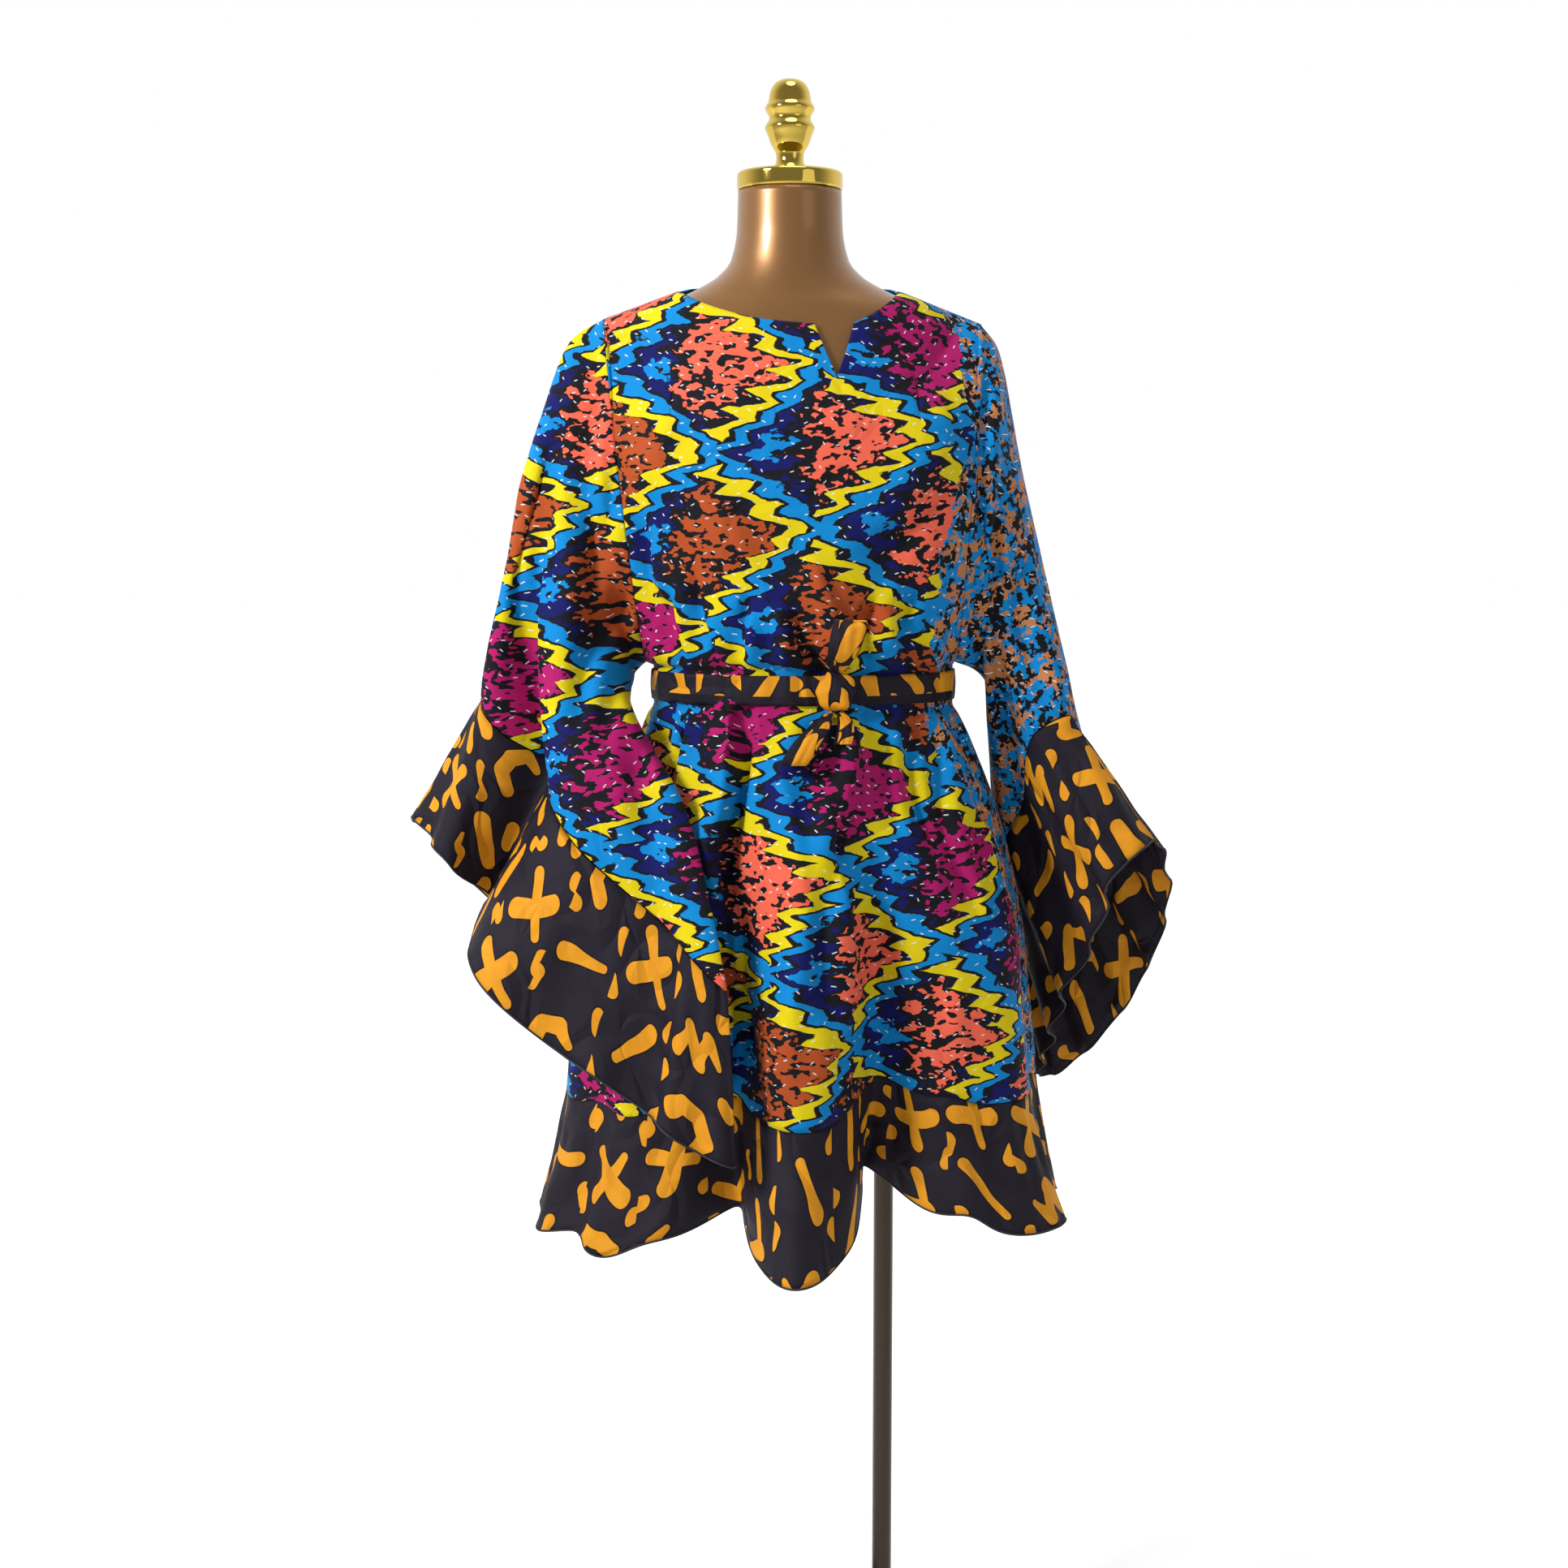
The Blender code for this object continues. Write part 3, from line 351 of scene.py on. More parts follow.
def through(keys, rows, at):
    """A smooth curve through rows of values at rising keys, read at each of at, with no overshoot."""
    keys = np.asarray(keys, float)
    rows = np.asarray(rows, float)
    at = np.clip(np.asarray(at, float), keys[0], keys[-1])
    chord = np.diff(rows, axis=0) / np.diff(keys)[:, None]
    slopes = np.zeros_like(rows)
    same = chord[1:] * chord[:-1] > 0
    middle = 2 * chord[1:] * chord[:-1] / np.where(same, chord[1:] + chord[:-1], 1)
    slopes[1:-1] = np.where(same, middle, 0)
    slopes[0], slopes[-1] = chord[0], chord[-1]
    k = np.clip(np.searchsorted(keys, at, side="right") - 1, 0, len(keys) - 2)
    step = (keys[k + 1] - keys[k])[..., None]
    f = (at - keys[k])[..., None] / step
    ease = f * f * (3 - 2 * f)
    swing = f * (1 - f) ** 2 * slopes[k] - f * f * (1 - f) * slopes[k + 1]
    return rows[k] * (1 - ease) + rows[k + 1] * ease + step * swing


def by_height(table, height, names):
    """Columns of a table that runs downwards, at a height."""
    rows = [[getattr(row, name) for name in names] for row in reversed(table)]
    return through([row.height for row in reversed(table)], rows, height)


def ramp(value, start, full):
    """0 at start and 1 at full, easing between."""
    f = np.clip((value - start) / (full - start), 0, 1)
    return f * f * (3 - 2 * f)


def unit(vectors):
    """Vectors brought to a length of 1."""
    return vectors / np.linalg.norm(vectors, axis=1)[:, None]


def heading(line):
    """From the point before to the point after, at each point of a closed line."""
    return np.roll(line, -1, axis=0) - np.roll(line, 1, axis=0)


def run_along(line):
    """How far along a line each of its points lies."""
    return np.concatenate([[0], np.cumsum(np.linalg.norm(np.diff(line, axis=0), axis=1))])


def outward(angle, column):
    """Level directions out of a panel, at angles from its middle."""
    return np.stack([np.sin(angle), SIGN[column] * np.cos(angle), np.zeros_like(angle)], 1)


def circle(count):
    """Even angles round a full turn."""
    return np.arange(count) / count * 2 * math.pi


def form_depth(across, height, column):
    """How far the dress form reaches in front of or behind its axis, a little below a height."""
    half_width, depth = np.moveaxis(by_height(FORM, height, ("half_width", column)), -1, 0)
    return depth * np.sqrt(np.clip(1 - (across / half_width) ** 2, 0, 1))


def arm_places():
    """Places down an armhole, 0 at the shoulder and 1 under the arm, closest at its ends."""
    return (1 - np.cos(np.linspace(0, math.pi, ARM_STEPS + 1))) / 2


def arm_edge(sleeve, place, column):
    """The armhole's edge on the front or back panel."""
    first = sleeve[0]
    outer, inner = np.array(first.outer), np.array(first.inner)
    point = outer + (inner - outer) * place
    point[1] += SIGN[column] * getattr(first, column) * math.sqrt(4 * place * (1 - place))
    return point


def arm_edges(place, column):
    """The right and the left armhole's edge at one place."""
    return [arm_edge(sleeve, place, column) for sleeve in (RIGHT_SLEEVE, LEFT_SLEEVE)]


def top_edge(column):
    """Points along the shoulder seams and the neckline, and where each lies from -1 to 1."""
    neck, sign = NECKS[column], SIGN[column]
    beside = (PANEL_COLUMNS[column] - (len(neck) - 1)) // 2
    right_tip, left_tip = np.array(RIGHT_SLEEVE[0].outer), np.array(LEFT_SLEEVE[0].outer)
    line = []
    for point in neck:
        depth = form_depth(point.across, point.height - NECK_DROP, column)
        at_shoulder = point in (neck[0], neck[-1])
        depth = SHOULDER_GAP / 2 if at_shoulder else depth + NECK_EASE
        line.append(np.array([point.across, sign * depth, point.height]))
    seam = np.array([0, sign * SHOULDER_GAP / 2, 0])
    right = [right_tip + seam + (line[0] - right_tip - seam) * k / beside for k in range(beside)]
    left = [line[-1] + (left_tip + seam - line[-1]) * k / beside for k in range(1, beside + 1)]
    places = np.concatenate([
        np.linspace(-1, -NECK_SHARE, beside, endpoint=False),
        np.interp([p.across for p in neck], [neck[0].across, neck[-1].across], [-NECK_SHARE, NECK_SHARE]),
        np.linspace(NECK_SHARE, 1, beside + 1)[1:],
    ])
    return np.array(right + line + left), places


def gathers(angle, height):
    """How far the gathers stand out of the cloth beside the belt."""
    wander = angle + GATHER_WANDER * np.sin(3 * angle + 1)
    band = sum(np.exp(-((height - middle) / width) ** 2) for middle, width in GATHER_BANDS)
    return GATHER_DEPTH * band * np.cos(GATHER_TURNS * wander)


def fold_sum(folds, angle, part):
    """Depth or rise of all the folds, at an angle in degrees from the middle of the panel."""
    return sum(getattr(f, part) * np.exp(-((angle - f.angle) / f.half_width) ** 2) for f in folds)


def body_row(column, height, places, edges):
    """One row of the front or back panel, edge to edge at one height."""
    wrap, middle = by_height(BODY, height, ("wrap", column))
    folds = FOLDS[column]
    wrap = math.radians(wrap)
    right, left = edges
    share = (np.cos(wrap * places) - math.cos(wrap)) / (1 - math.cos(wrap))
    sweep = (np.sin(wrap * places) / math.sin(wrap) + 1) / 2
    row = right + (left - right) * sweep[:, None]
    row[:, 1] += (SIGN[column] * middle - row[:, 1]) * share
    angle = wrap * places
    grow = ramp(height, *FOLD_HEIGHTS)
    depth = fold_sum(folds, np.degrees(angle), "depth") * grow
    turn = angle if column == "front" else math.pi - angle
    row += outward(angle, column) * (depth + gathers(turn, height) * (1 - np.abs(places) ** 6))[:, None]
    row[:, 2] = height + fold_sum(folds, np.degrees(angle), "rise") * ramp(height, *RISE_HEIGHTS)
    return row


def seam_edges(column, height):
    """The side seams' points at a height below the arms, half a seam gap in from the middle."""
    right, left = by_height(BODY, height, ("right", "left"))
    shift = SIGN[column] * SEAM_GAP / 2
    return np.array([right, shift, height]), np.array([left, shift, height])


def body_panel(column):
    """Rows of the front or back panel from the shoulders to the hem seam."""
    top, places = top_edge(column)
    sign = SIGN[column]
    even = np.linspace(-1, 1, len(places))
    yoke_end = BODY[0].height
    shoulder, underarm = RIGHT_SLEEVE[0].outer[2], RIGHT_SLEEVE[0].inner[2]
    rows = [top]
    for place in arm_places()[1:]:
        edges = arm_edges(place, column)
        heights = [edge[2] for edge in edges]
        if place == 1:
            edges = [edge + [0, sign * SHOULDER_GAP / 2, 0] for edge in edges]
        middle = sum(heights) / 2
        down = (shoulder - middle) / (shoulder - yoke_end)
        if down >= 1:
            mix = places + (even - places) * min(1, (down - 1) / EVEN_OUT)
            row = body_row(column, middle, mix, edges)
            row[:, 2] = np.interp(mix, [-1, 0, 1], [heights[0], middle, heights[1]])
        else:
            lower = arm_edges((shoulder - yoke_end) / (shoulder - underarm), column)
            target = body_row(column, yoke_end, places, lower)
            row = top + (target - top) * down
            round_over = math.sqrt(down)
            on_shoulder = ramp(np.abs(places), NECK_SHARE * 0.75, 1)
            share = down + (round_over - down) * on_shoulder
            row[:, 1] = top[:, 1] + (target[:, 1] - top[:, 1]) * share
            clear = form_depth(row[:, 0], row[:, 2] - SHOULDER_EASE, column) + SHOULDER_EASE
            row[:, 1] = sign * np.maximum(np.abs(row[:, 1]), clear)
            row[0], row[-1] = edges
        rows.append(row)
    for height in SKIRT_HEIGHTS:
        rows.append(body_row(column, height, even, seam_edges(column, height)))
    return np.array(rows)


def sleeve_grid(sections, folds, hug, alongs, turns):
    """Rows of closed rings round a sleeve, at each share along it and each turn from its outer fold."""
    flat = [[*s.outer, *s.inner, s.front, s.back, s.drop, s.turn_out, s.turn_in] for s in sections]
    place = (1 - np.cos(2 * math.pi * turns)) / 2
    swell = np.abs(np.sin(2 * math.pi * turns))
    on_front = turns <= 0.5
    rows = []
    for along, values in zip(alongs, through([s.along for s in sections], flat, alongs)):
        outer, inner = values[:3], values[3:6]
        front, back, drop, turn_out, turn_in = values[6:]
        closing = ramp(along, *HOLD_IN)
        held_in = 1 - hug * closing * place
        flatten = 1 - FRONT_FLATTEN * closing * ramp(place, 0.5, 1)
        depth = np.where(on_front, front * flatten, -back * held_in) * swell
        grow = ramp(along, *SLEEVE_FOLDS_OPEN)
        for fold in folds:
            bump = np.exp(-((place - fold.place) / fold.half_width) ** 2) * np.where(on_front, 1, 0)
            depth = depth + fold.depth * grow * bump * np.minimum(1, 2 * swell)
        ring = outer + (inner - outer) * place[:, None]
        facing = np.radians(turn_out + (turn_in - turn_out) * place ** 2)
        ring = ring + np.stack([-np.sin(facing), -np.cos(facing), 0 * facing], 1) * depth[:, None]
        lift = sum(f.rise * np.exp(-((place - f.place) / f.half_width) ** 2) for f in folds)
        ring[:, 2] += np.where(on_front, lift * grow, -drop * swell)
        rows.append(ring)
    rows = np.array(rows)
    rows[0, :, 0] += math.copysign(ARMHOLE_GAP, sections[0].outer[0])
    return rows


def sleeve_turns():
    """Turns round a sleeve whose points meet the armhole's points."""
    return np.arange(2 * ARM_STEPS) / (2 * ARM_STEPS)


def split_row(row, parts, around):
    """A row of points with each stretch cut into equal parts, along its straight edges."""
    ends = np.roll(row, -1, axis=0) if around else row[1:]
    starts = row if around else row[:-1]
    shares = np.arange(parts) / parts
    points = (starts[:, None] + (ends - starts)[:, None] * shares[:, None]).reshape(-1, 3)
    return points if around else np.vstack([points, row[-1]])


def wave(turn, count, phase):
    """An uneven wave, count waves to a full turn."""
    return np.cos(2 * math.pi * count * turn + phase + 0.9 * np.sin(4 * math.pi * turn + phase))


def cuff_ruffle(cuff, falls, phase):
    """Rows of a cuff ruffle, from the sleeve's last ring to its waved edge."""
    seam = split_row(cuff, CUFF_SPLIT, True)
    turns = np.arange(len(seam)) / len(seam)
    fall = through([f.turn for f in falls], [[f.across, f.depth, f.down] for f in falls], turns)
    out = unit(np.cross(heading(seam), fall))
    spread = CUFF_WAVE_LEAST + (1 - CUFF_WAVE_LEAST) * np.abs(np.sin(2 * math.pi * turns))
    rows = []
    for share in np.linspace(0, 1, RUFFLE_ROWS + 1):
        reach = RUFFLE_GAP / np.linalg.norm(fall, axis=1)[:, None] + share
        swing = CUFF_WAVE_DEPTH * share ** 1.2 * wave(turns, CUFF_WAVES, phase) * spread
        rows.append(seam + fall * reach + out * swing[:, None])
    return np.array(rows)


def hem_ruffle(panel, column):
    """Rows of the hem ruffle below one body panel."""
    seam = split_row(panel[-1], HEM_SPLIT, False)
    folds = FOLDS[column]
    angle = np.linspace(-math.pi / 2, math.pi / 2, len(seam))
    out = outward(angle, column)
    depth = fold_sum(folds, np.degrees(angle), "depth") * HEM_OPENING
    rise = fold_sum(folds, np.degrees(angle), "rise") * HEM_RISE
    turn = angle / (2 * math.pi) if column == "front" else 0.5 - angle / (2 * math.pi)
    rows = []
    for share in np.linspace(0, 1, RUFFLE_ROWS + 1):
        grow = share ** 1.3
        wavy = HEM_WAVE_DEPTH * share * wave(turn, HEM_WAVES, 0.6) * np.cos(angle) ** 0.5
        row = seam + out * (HEM_FLARE * grow + depth * grow + wavy)[:, None]
        row[:, 2] -= RUFFLE_GAP + (HEM_FALL - rise) * share
        rows.append(row)
    return np.array(rows)


def belt_band(front, back):
    """Rows of the belt, moved out from the body's points below and above its middle."""
    behind = ARM_STEPS + 1
    ring = np.vstack([front[behind], back[behind][::-1]])
    middle = ring.mean(axis=0)
    side = heading(ring)
    out = unit(np.stack([side[:, 1], -side[:, 0], np.zeros(len(side))], 1))
    if (out * (ring - middle)).sum() < 0:
        out = -out
    ring = ring + out * (WALL / 2 + SEAM_GAP + BELT_WALL / 2 + BELT_EASE)
    rows = []
    for height in (BELT_TOP, BELT_TOP - BELT_WIDTH):
        level = ring.copy()
        level[:, 2] = height
        rows.append(level)
    return np.array(rows)


def grid_mesh(name, points, around):
    """An open mesh from rows of points, joined end to start when it goes around."""
    rows, columns = points.shape[:2]
    faces = []
    for j in range(rows - 1):
        for i in range(columns if around else columns - 1):
            k = (i + 1) % columns
            low, high = j * columns, (j + 1) * columns
            faces.append((low + i, high + i, high + k, low + k))
    mesh = bpy.data.meshes.new(name)
    mesh.from_pydata(points.reshape(-1, 3).tolist(), [], faces)
    mesh.shade_smooth()
    return mesh


def smooth_neck(neck, corners):
    """The neckline with finer steps between its points, smooth except at the corners."""
    stops = [0, *corners, len(neck) - 1]
    line = []
    for low, high in zip(stops, stops[1:]):
        keys = list(range(low, high + 1))
        at = np.arange(low * NECK_PARTS, high * NECK_PARTS) / NECK_PARTS
        rows = through(keys, [tuple(neck[k]) for k in keys], at)
        line += [NeckPoint(*row) for row in rows]
    return line + [neck[-1]]


def densify(values, parts):
    """A rising or falling list with parts even steps between its values."""
    at = np.arange((len(values) - 1) * parts + 1) / parts
    return list(np.interp(at, range(len(values)), values))


# The notch's two upper corners and its tip, by their rows in the front neckline
NOTCH_CORNERS = (6, 8, 10)
NECKS = {"front": smooth_neck(NECK_FRONT, NOTCH_CORNERS), "back": smooth_neck(NECK_BACK, ())}
SKIRT_HEIGHTS = densify(SKIRT_HEIGHTS, SKIRT_PARTS)


# Creases: a soft line from one place to another in the panel's own front view, depth out of the cloth,
# half width, and how much wider its gentle side is
Crease = namedtuple("Crease", "x0 z0 x1 z1 depth half_width lean")
FRONT_CREASES = table(Crease, [
    (-0.1, 1.215, -0.07, 1.116, -0.011, 0.006, 1.8), (-0.126, 1.2, -0.108, 1.118, -0.009, 0.006, 2.0),
    (-0.04, 1.195, -0.05, 1.116, -0.008, 0.005, 1.6), (-0.012, 1.18, -0.006, 1.116, 0.005, 0.006, 1.5),
    (0.004, 1.18, 0.036, 1.112, -0.01, 0.005, 1.8), (0.02, 1.225, 0.052, 1.124, 0.008, 0.008, 1.7),
    (0.086, 1.19, 0.074, 1.116, -0.01, 0.006, 1.8), (0.1, 1.18, 0.098, 1.116, 0.005, 0.007, 1.5),
    (0.126, 1.205, 0.12, 1.116, -0.011, 0.007, 2.0), (-0.158, 1.28, -0.116, 1.13, -0.012, 0.009, 2.4),
    (-0.146, 1.345, -0.03, 1.22, 0.006, 0.014, 2.6), (-0.15, 1.3, -0.06, 1.19, -0.005, 0.012, 2.2),
    (0.16, 1.35, 0.05, 1.235, 0.006, 0.014, 2.6), (0.158, 1.3, 0.08, 1.185, -0.006, 0.012, 2.2),
    (-0.11, 1.44, -0.146, 1.29, 0.004, 0.011, 2.4), (0.124, 1.44, 0.158, 1.31, 0.004, 0.011, 2.4),
    (-0.056, 1.086, -0.082, 0.92, 0.019, 0.0055, 3.0), (-0.082, 0.97, -0.062, 0.69, 0.017, 0.0055, 3.2),
    (-0.044, 1.084, -0.03, 0.655, -0.02, 0.007, 1.6), (-0.014, 1.07, -0.004, 0.7, 0.007, 0.01, 1.5),
    (0.064, 1.084, 0.036, 0.94, 0.012, 0.0055, 3.0), (0.036, 0.985, 0.037, 0.68, 0.013, 0.0055, 3.6),
    (0.05, 1.0, 0.052, 0.69, -0.008, 0.007, 1.5), (0.098, 1.078, 0.112, 0.94, -0.006, 0.007, 1.8),
    (0.126, 1.08, 0.15, 0.93, -0.014, 0.006, 2.6), (0.15, 1.07, 0.196, 0.86, -0.012, 0.007, 2.6),
    (0.196, 1.01, 0.226, 0.86, -0.01, 0.008, 2.2), (-0.108, 1.08, -0.124, 0.95, -0.011, 0.007, 2.2),
    (-0.15, 1.06, -0.18, 0.92, -0.008, 0.01, 1.8), (0.092, 0.96, 0.118, 0.76, 0.006, 0.015, 1.8),
    (0.155, 0.84, 0.17, 0.69, -0.006, 0.012, 2.0),
])
BACK_CREASES = table(Crease, [
    (-0.12, 1.2, -0.104, 1.118, -0.007, 0.008, 1.7), (-0.08, 1.19, -0.07, 1.12, -0.006, 0.007, 1.5),
    (-0.03, 1.18, -0.034, 1.118, -0.006, 0.008, 1.6), (0.014, 1.19, 0.01, 1.12, -0.005, 0.007, 1.4),
    (0.06, 1.18, 0.054, 1.118, -0.007, 0.008, 1.8), (0.1, 1.2, 0.094, 1.12, -0.006, 0.007, 1.6),
    (0.145, 1.21, 0.136, 1.122, -0.007, 0.009, 1.7), (-0.15, 1.34, -0.07, 1.2, 0.003, 0.018, 2.0),
    (0.16, 1.33, 0.08, 1.19, 0.003, 0.018, 2.0), (-0.09, 1.078, -0.11, 0.88, -0.01, 0.01, 2.0),
    (-0.045, 1.078, -0.052, 0.9, -0.008, 0.009, 1.8), (0.005, 1.078, 0.008, 0.86, 0.007, 0.012, 1.6),
    (0.06, 1.078, 0.074, 0.88, -0.01, 0.009, 2.0), (0.12, 1.076, 0.158, 0.9, -0.008, 0.01, 1.8),
    (-0.15, 1.07, -0.186, 0.92, -0.007, 0.01, 1.8),
])
RIGHT_SLEEVE_CREASES = table(Crease, [
    (-0.182, 1.45, -0.196, 1.2, -0.014, 0.009, 2.6), (-0.24, 1.38, -0.236, 1.18, -0.008, 0.01, 2.4),
    (-0.2, 1.43, -0.225, 1.15, 0.005, 0.014, 1.6), (-0.166, 1.33, -0.196, 1.13, -0.007, 0.009, 2.0),
    (-0.158, 1.2, -0.215, 1.06, -0.011, 0.008, 2.4), (-0.152, 1.14, -0.19, 1.02, -0.006, 0.008, 1.8),
    (-0.255, 1.34, -0.268, 1.1, -0.01, 0.009, 2.6), (-0.29, 1.25, -0.296, 1.11, 0.003, 0.009, 1.5),
    (-0.15, 1.06, -0.12, 0.94, -0.006, 0.009, 1.8), (-0.2, 1.06, -0.16, 0.96, 0.004, 0.012, 1.6),
])
LEFT_SLEEVE_CREASES = table(Crease, [
    (0.196, 1.43, 0.214, 1.2, -0.01, 0.008, 2.2), (0.212, 1.4, 0.232, 1.16, 0.004, 0.012, 1.6),
    (0.18, 1.26, 0.206, 1.1, -0.006, 0.008, 1.8), (0.238, 1.25, 0.262, 1.08, -0.009, 0.008, 2.2),
    (0.2, 1.16, 0.232, 1.02, -0.005, 0.008, 1.8), (0.262, 1.18, 0.276, 1.06, 0.003, 0.009, 1.5),
])


def normals(points, around):
    """Unit normals of a grid of points, from its neighbours along rows and columns."""
    down = np.gradient(points, axis=0)
    if around:
        across = (np.roll(points, -1, axis=1) - np.roll(points, 1, axis=1)) / 2
    else:
        across = np.gradient(points, axis=1)
    made = np.cross(across, down)
    return made / np.maximum(np.linalg.norm(made, axis=2), 1e-9)[..., None]


def creased(points, creases, facing, around=False):
    """The grid with its creases, each laid only where the cloth faces the way given along Y."""
    out = normals(points, around)
    flip = np.sign(out[..., 1:2] * facing + 1e-9)
    out = out * flip
    total = np.zeros(points.shape[:2])
    for c in creases:
        run = np.array([c.x1 - c.x0, c.z1 - c.z0])
        length = np.linalg.norm(run)
        away = points[..., [0, 2]] - [c.x0, c.z0]
        along = away @ run / length ** 2
        side = (away[..., 0] * run[1] - away[..., 1] * run[0]) / length
        bow = np.sin(math.pi * np.clip(along, 0, 1)) ** 2 * np.sign(c.depth)
        side = side + CREASE_BOW * length * bow
        width = np.where(side > 0, c.half_width * c.lean, c.half_width)
        fade = ramp(along, -0.10, 0.25) * ramp(1.12 - along, 0, 0.45)
        total += CREASE_STRENGTH * c.depth * fade * np.exp(-(side / width) ** 2)
    on_side = np.abs(out[..., 1]) ** 0.7
    return points + out * (total * on_side)[..., None]


def clear_of_form(points, column, facing):
    """Cloth that a crease has pushed in is set back to just off the dress form."""
    least = form_depth(points[..., 0], points[..., 2], column) + FORM_CLEAR
    on_form = (points[..., 2] > FORM[-1].height) & (points[..., 2] < FORM[0].height)
    out = np.where(on_form, np.maximum(points[..., 1] * facing, least), points[..., 1] * facing)
    return np.stack([points[..., 0], out * facing, points[..., 2]], 2)


# Small waves of all cloth: how fast each runs along X, Y and Z
CRUMPLE_WAVES = [(0.9, 0.3, 0.35), (-0.5, 0.8, 0.25), (1.4, -0.6, 0.15), (0.2, 1.5, -0.4), (-1.7, 0.2, 0.3)]


def crumple(points, around, size, seed):
    """Small uneven waves over a grid of cloth, from a few crossing sines."""
    out = normals(points, around)
    x, y, z = np.moveaxis(points, -1, 0)
    total = 0
    for k, (a, b, c) in enumerate(CRUMPLE_WAVES):
        phase = seed + 1.7 * k
        bend = 1.3 * np.sin((b * x - a * z) / size + phase)
        total = total + np.sin((a * x + b * y + c * z) / size + phase + bend)
    return points + out * (CRUMPLE_DEPTH * total / len(CRUMPLE_WAVES))[..., None]


# Cloth coordinates, in metres

def panel_cloth(grid):
    """Cloth coordinates of a body panel: across from its middle column, and its height."""
    across = np.array([run_along(row) for row in grid[..., :2]])
    middle = grid.shape[1] // 2
    across = across - across[:, middle:middle + 1]
    return np.stack([across, grid[..., 2]], 2)


def sleeve_cloth(rings, start, slant):
    """Cloth coordinates of a sleeve: across, taken a little from the side, and up."""
    closed = np.concatenate([rings, rings[:, :1]], 1)
    return np.stack([start + closed[..., 0] - slant * closed[..., 1], closed[..., 2]], 2)


def ruffle_cloth(grid, around, start):
    """Cloth coordinates of a gathered strip: along its free edge, and up from it."""
    edge = grid[2 * len(grid) // 3]
    loop = np.vstack([edge, edge[:1]]) if around else edge
    along = run_along(loop)
    rise = np.linalg.norm(np.diff(grid, axis=0), axis=2).mean(axis=1)
    up = np.concatenate([[0], np.cumsum(rise)])[::-1]
    return np.stack(np.broadcast_arrays(start + along[None, :], up[:, None]), 2)


def placed(name, mesh, finish):
    """An object of a mesh in one finish, in the scene."""
    made = bpy.data.objects.new(name, mesh)
    mesh.materials.append(finish)
    bpy.context.scene.collection.objects.link(made)
    return made


def shell(name, points, cloth_at, finish, around=False, wall=SHELL_WALL):
    """A thin sheet of cloth from rows of points, with its cloth coordinates and its thickness."""
    mesh = grid_mesh(name, points, around)
    layer = mesh.uv_layers.new(name="ClothMap")
    columns = points.shape[1]
    corners = np.empty((len(mesh.loops), 2))
    for face in mesh.polygons:
        for loop, vert in zip(face.loop_indices, face.vertices):
            j, i = divmod(vert, columns)
            wraps = around and i == 0 and any(v % columns == columns - 1 for v in face.vertices)
            corners[loop] = cloth_at[j, columns if wraps else i]
    layer.data.foreach_set("uv", corners.ravel())
    made = placed(name, mesh, finish)
    if wall:
        solid = made.modifiers.new("Wall", "SOLIDIFY")
        solid.thickness = wall
        solid.offset = 0
    return made


def edge_roll(name, line, finish, closed):
    """The narrow rolled edge along a line of points."""
    ahead = heading(line)
    if not closed:
        ahead[0], ahead[-1] = line[1] - line[0], line[-1] - line[-2]
    ahead = unit(ahead)
    side = np.cross(ahead, [0, 0, 1.0])
    side /= np.maximum(np.linalg.norm(side, axis=1), 1e-6)[:, None]
    rise = np.cross(side, ahead)
    rings = [line + EDGE_RADIUS * (side * math.cos(t) + rise * math.sin(t)) for t in circle(ROLL_SIDES)]
    grid = np.array(rings + rings[:1])
    if closed:
        grid = np.concatenate([grid, grid[:, :1]], 1)
    reach = np.stack(np.meshgrid(np.arange(grid.shape[1]) * 0.002, np.arange(grid.shape[0]) * 0.001), 2)
    return shell(name, grid, reach, finish, wall=0)


# Shader sums, written as plain arithmetic on node sockets

def fill(node, **values):
    """Sets a node's inputs, named with _ for each space, and gives the node back."""
    for name, value in values.items():
        node.inputs[name.replace("_", " ")].default_value = value
    return node


def add(tree, kind, **values):
    """A new shader node with its inputs set."""
    return fill(tree.nodes.new("ShaderNode" + kind), **values)


def feed(tree, term, socket):
    """Gives a node's socket a number, or the socket that a term stands for."""
    value = term.value if isinstance(term, Term) else term
    if isinstance(value, bpy.types.NodeSocket):
        tree.links.new(value, socket)
    else:
        socket.default_value = value


class Term:
    """A number or a socket in a material's node tree, with arithmetic that adds Math nodes."""

    def __init__(self, tree, value):
        self.tree, self.value = tree, value

    def made(self, operation, *others, clamp=False):
        node = add(self.tree, "Math")
        node.operation = operation
        node.use_clamp = clamp
        for k, term in enumerate((self, *others)):
            feed(self.tree, term, node.inputs[k])
        return Term(self.tree, node.outputs[0])

    def __add__(self, other):
        return self.made("ADD", other)

    __radd__ = __add__

    def __sub__(self, other):
        return self.made("SUBTRACT", other)

    def __rsub__(self, other):
        return Term(self.tree, other).made("SUBTRACT", self)

    def __mul__(self, other):
        return self.made("MULTIPLY", other)

    __rmul__ = __mul__

    def __truediv__(self, other):
        return self.made("DIVIDE", other)

    def floor(self):
        return self.made("FLOOR")

    def part(self):
        return self.made("FRACT")

    def size(self):
        return self.made("ABSOLUTE")

    def least(self, other):
        return self.made("MINIMUM", other)

    def most(self, other):
        return self.made("MAXIMUM", other)

    def above(self, edge, soft):
        """0 below an edge and 1 above it, easing over soft."""
        return (((self - edge) / soft) + 0.5).made("ADD", 0.0, clamp=True)

    def below(self, edge, soft):
        return 1 - self.above(edge, soft)


def zigzag(turn):
    """A triangle wave from -1 to 1, once a turn."""
    return (turn.part() - 0.5).size() * 4 - 1


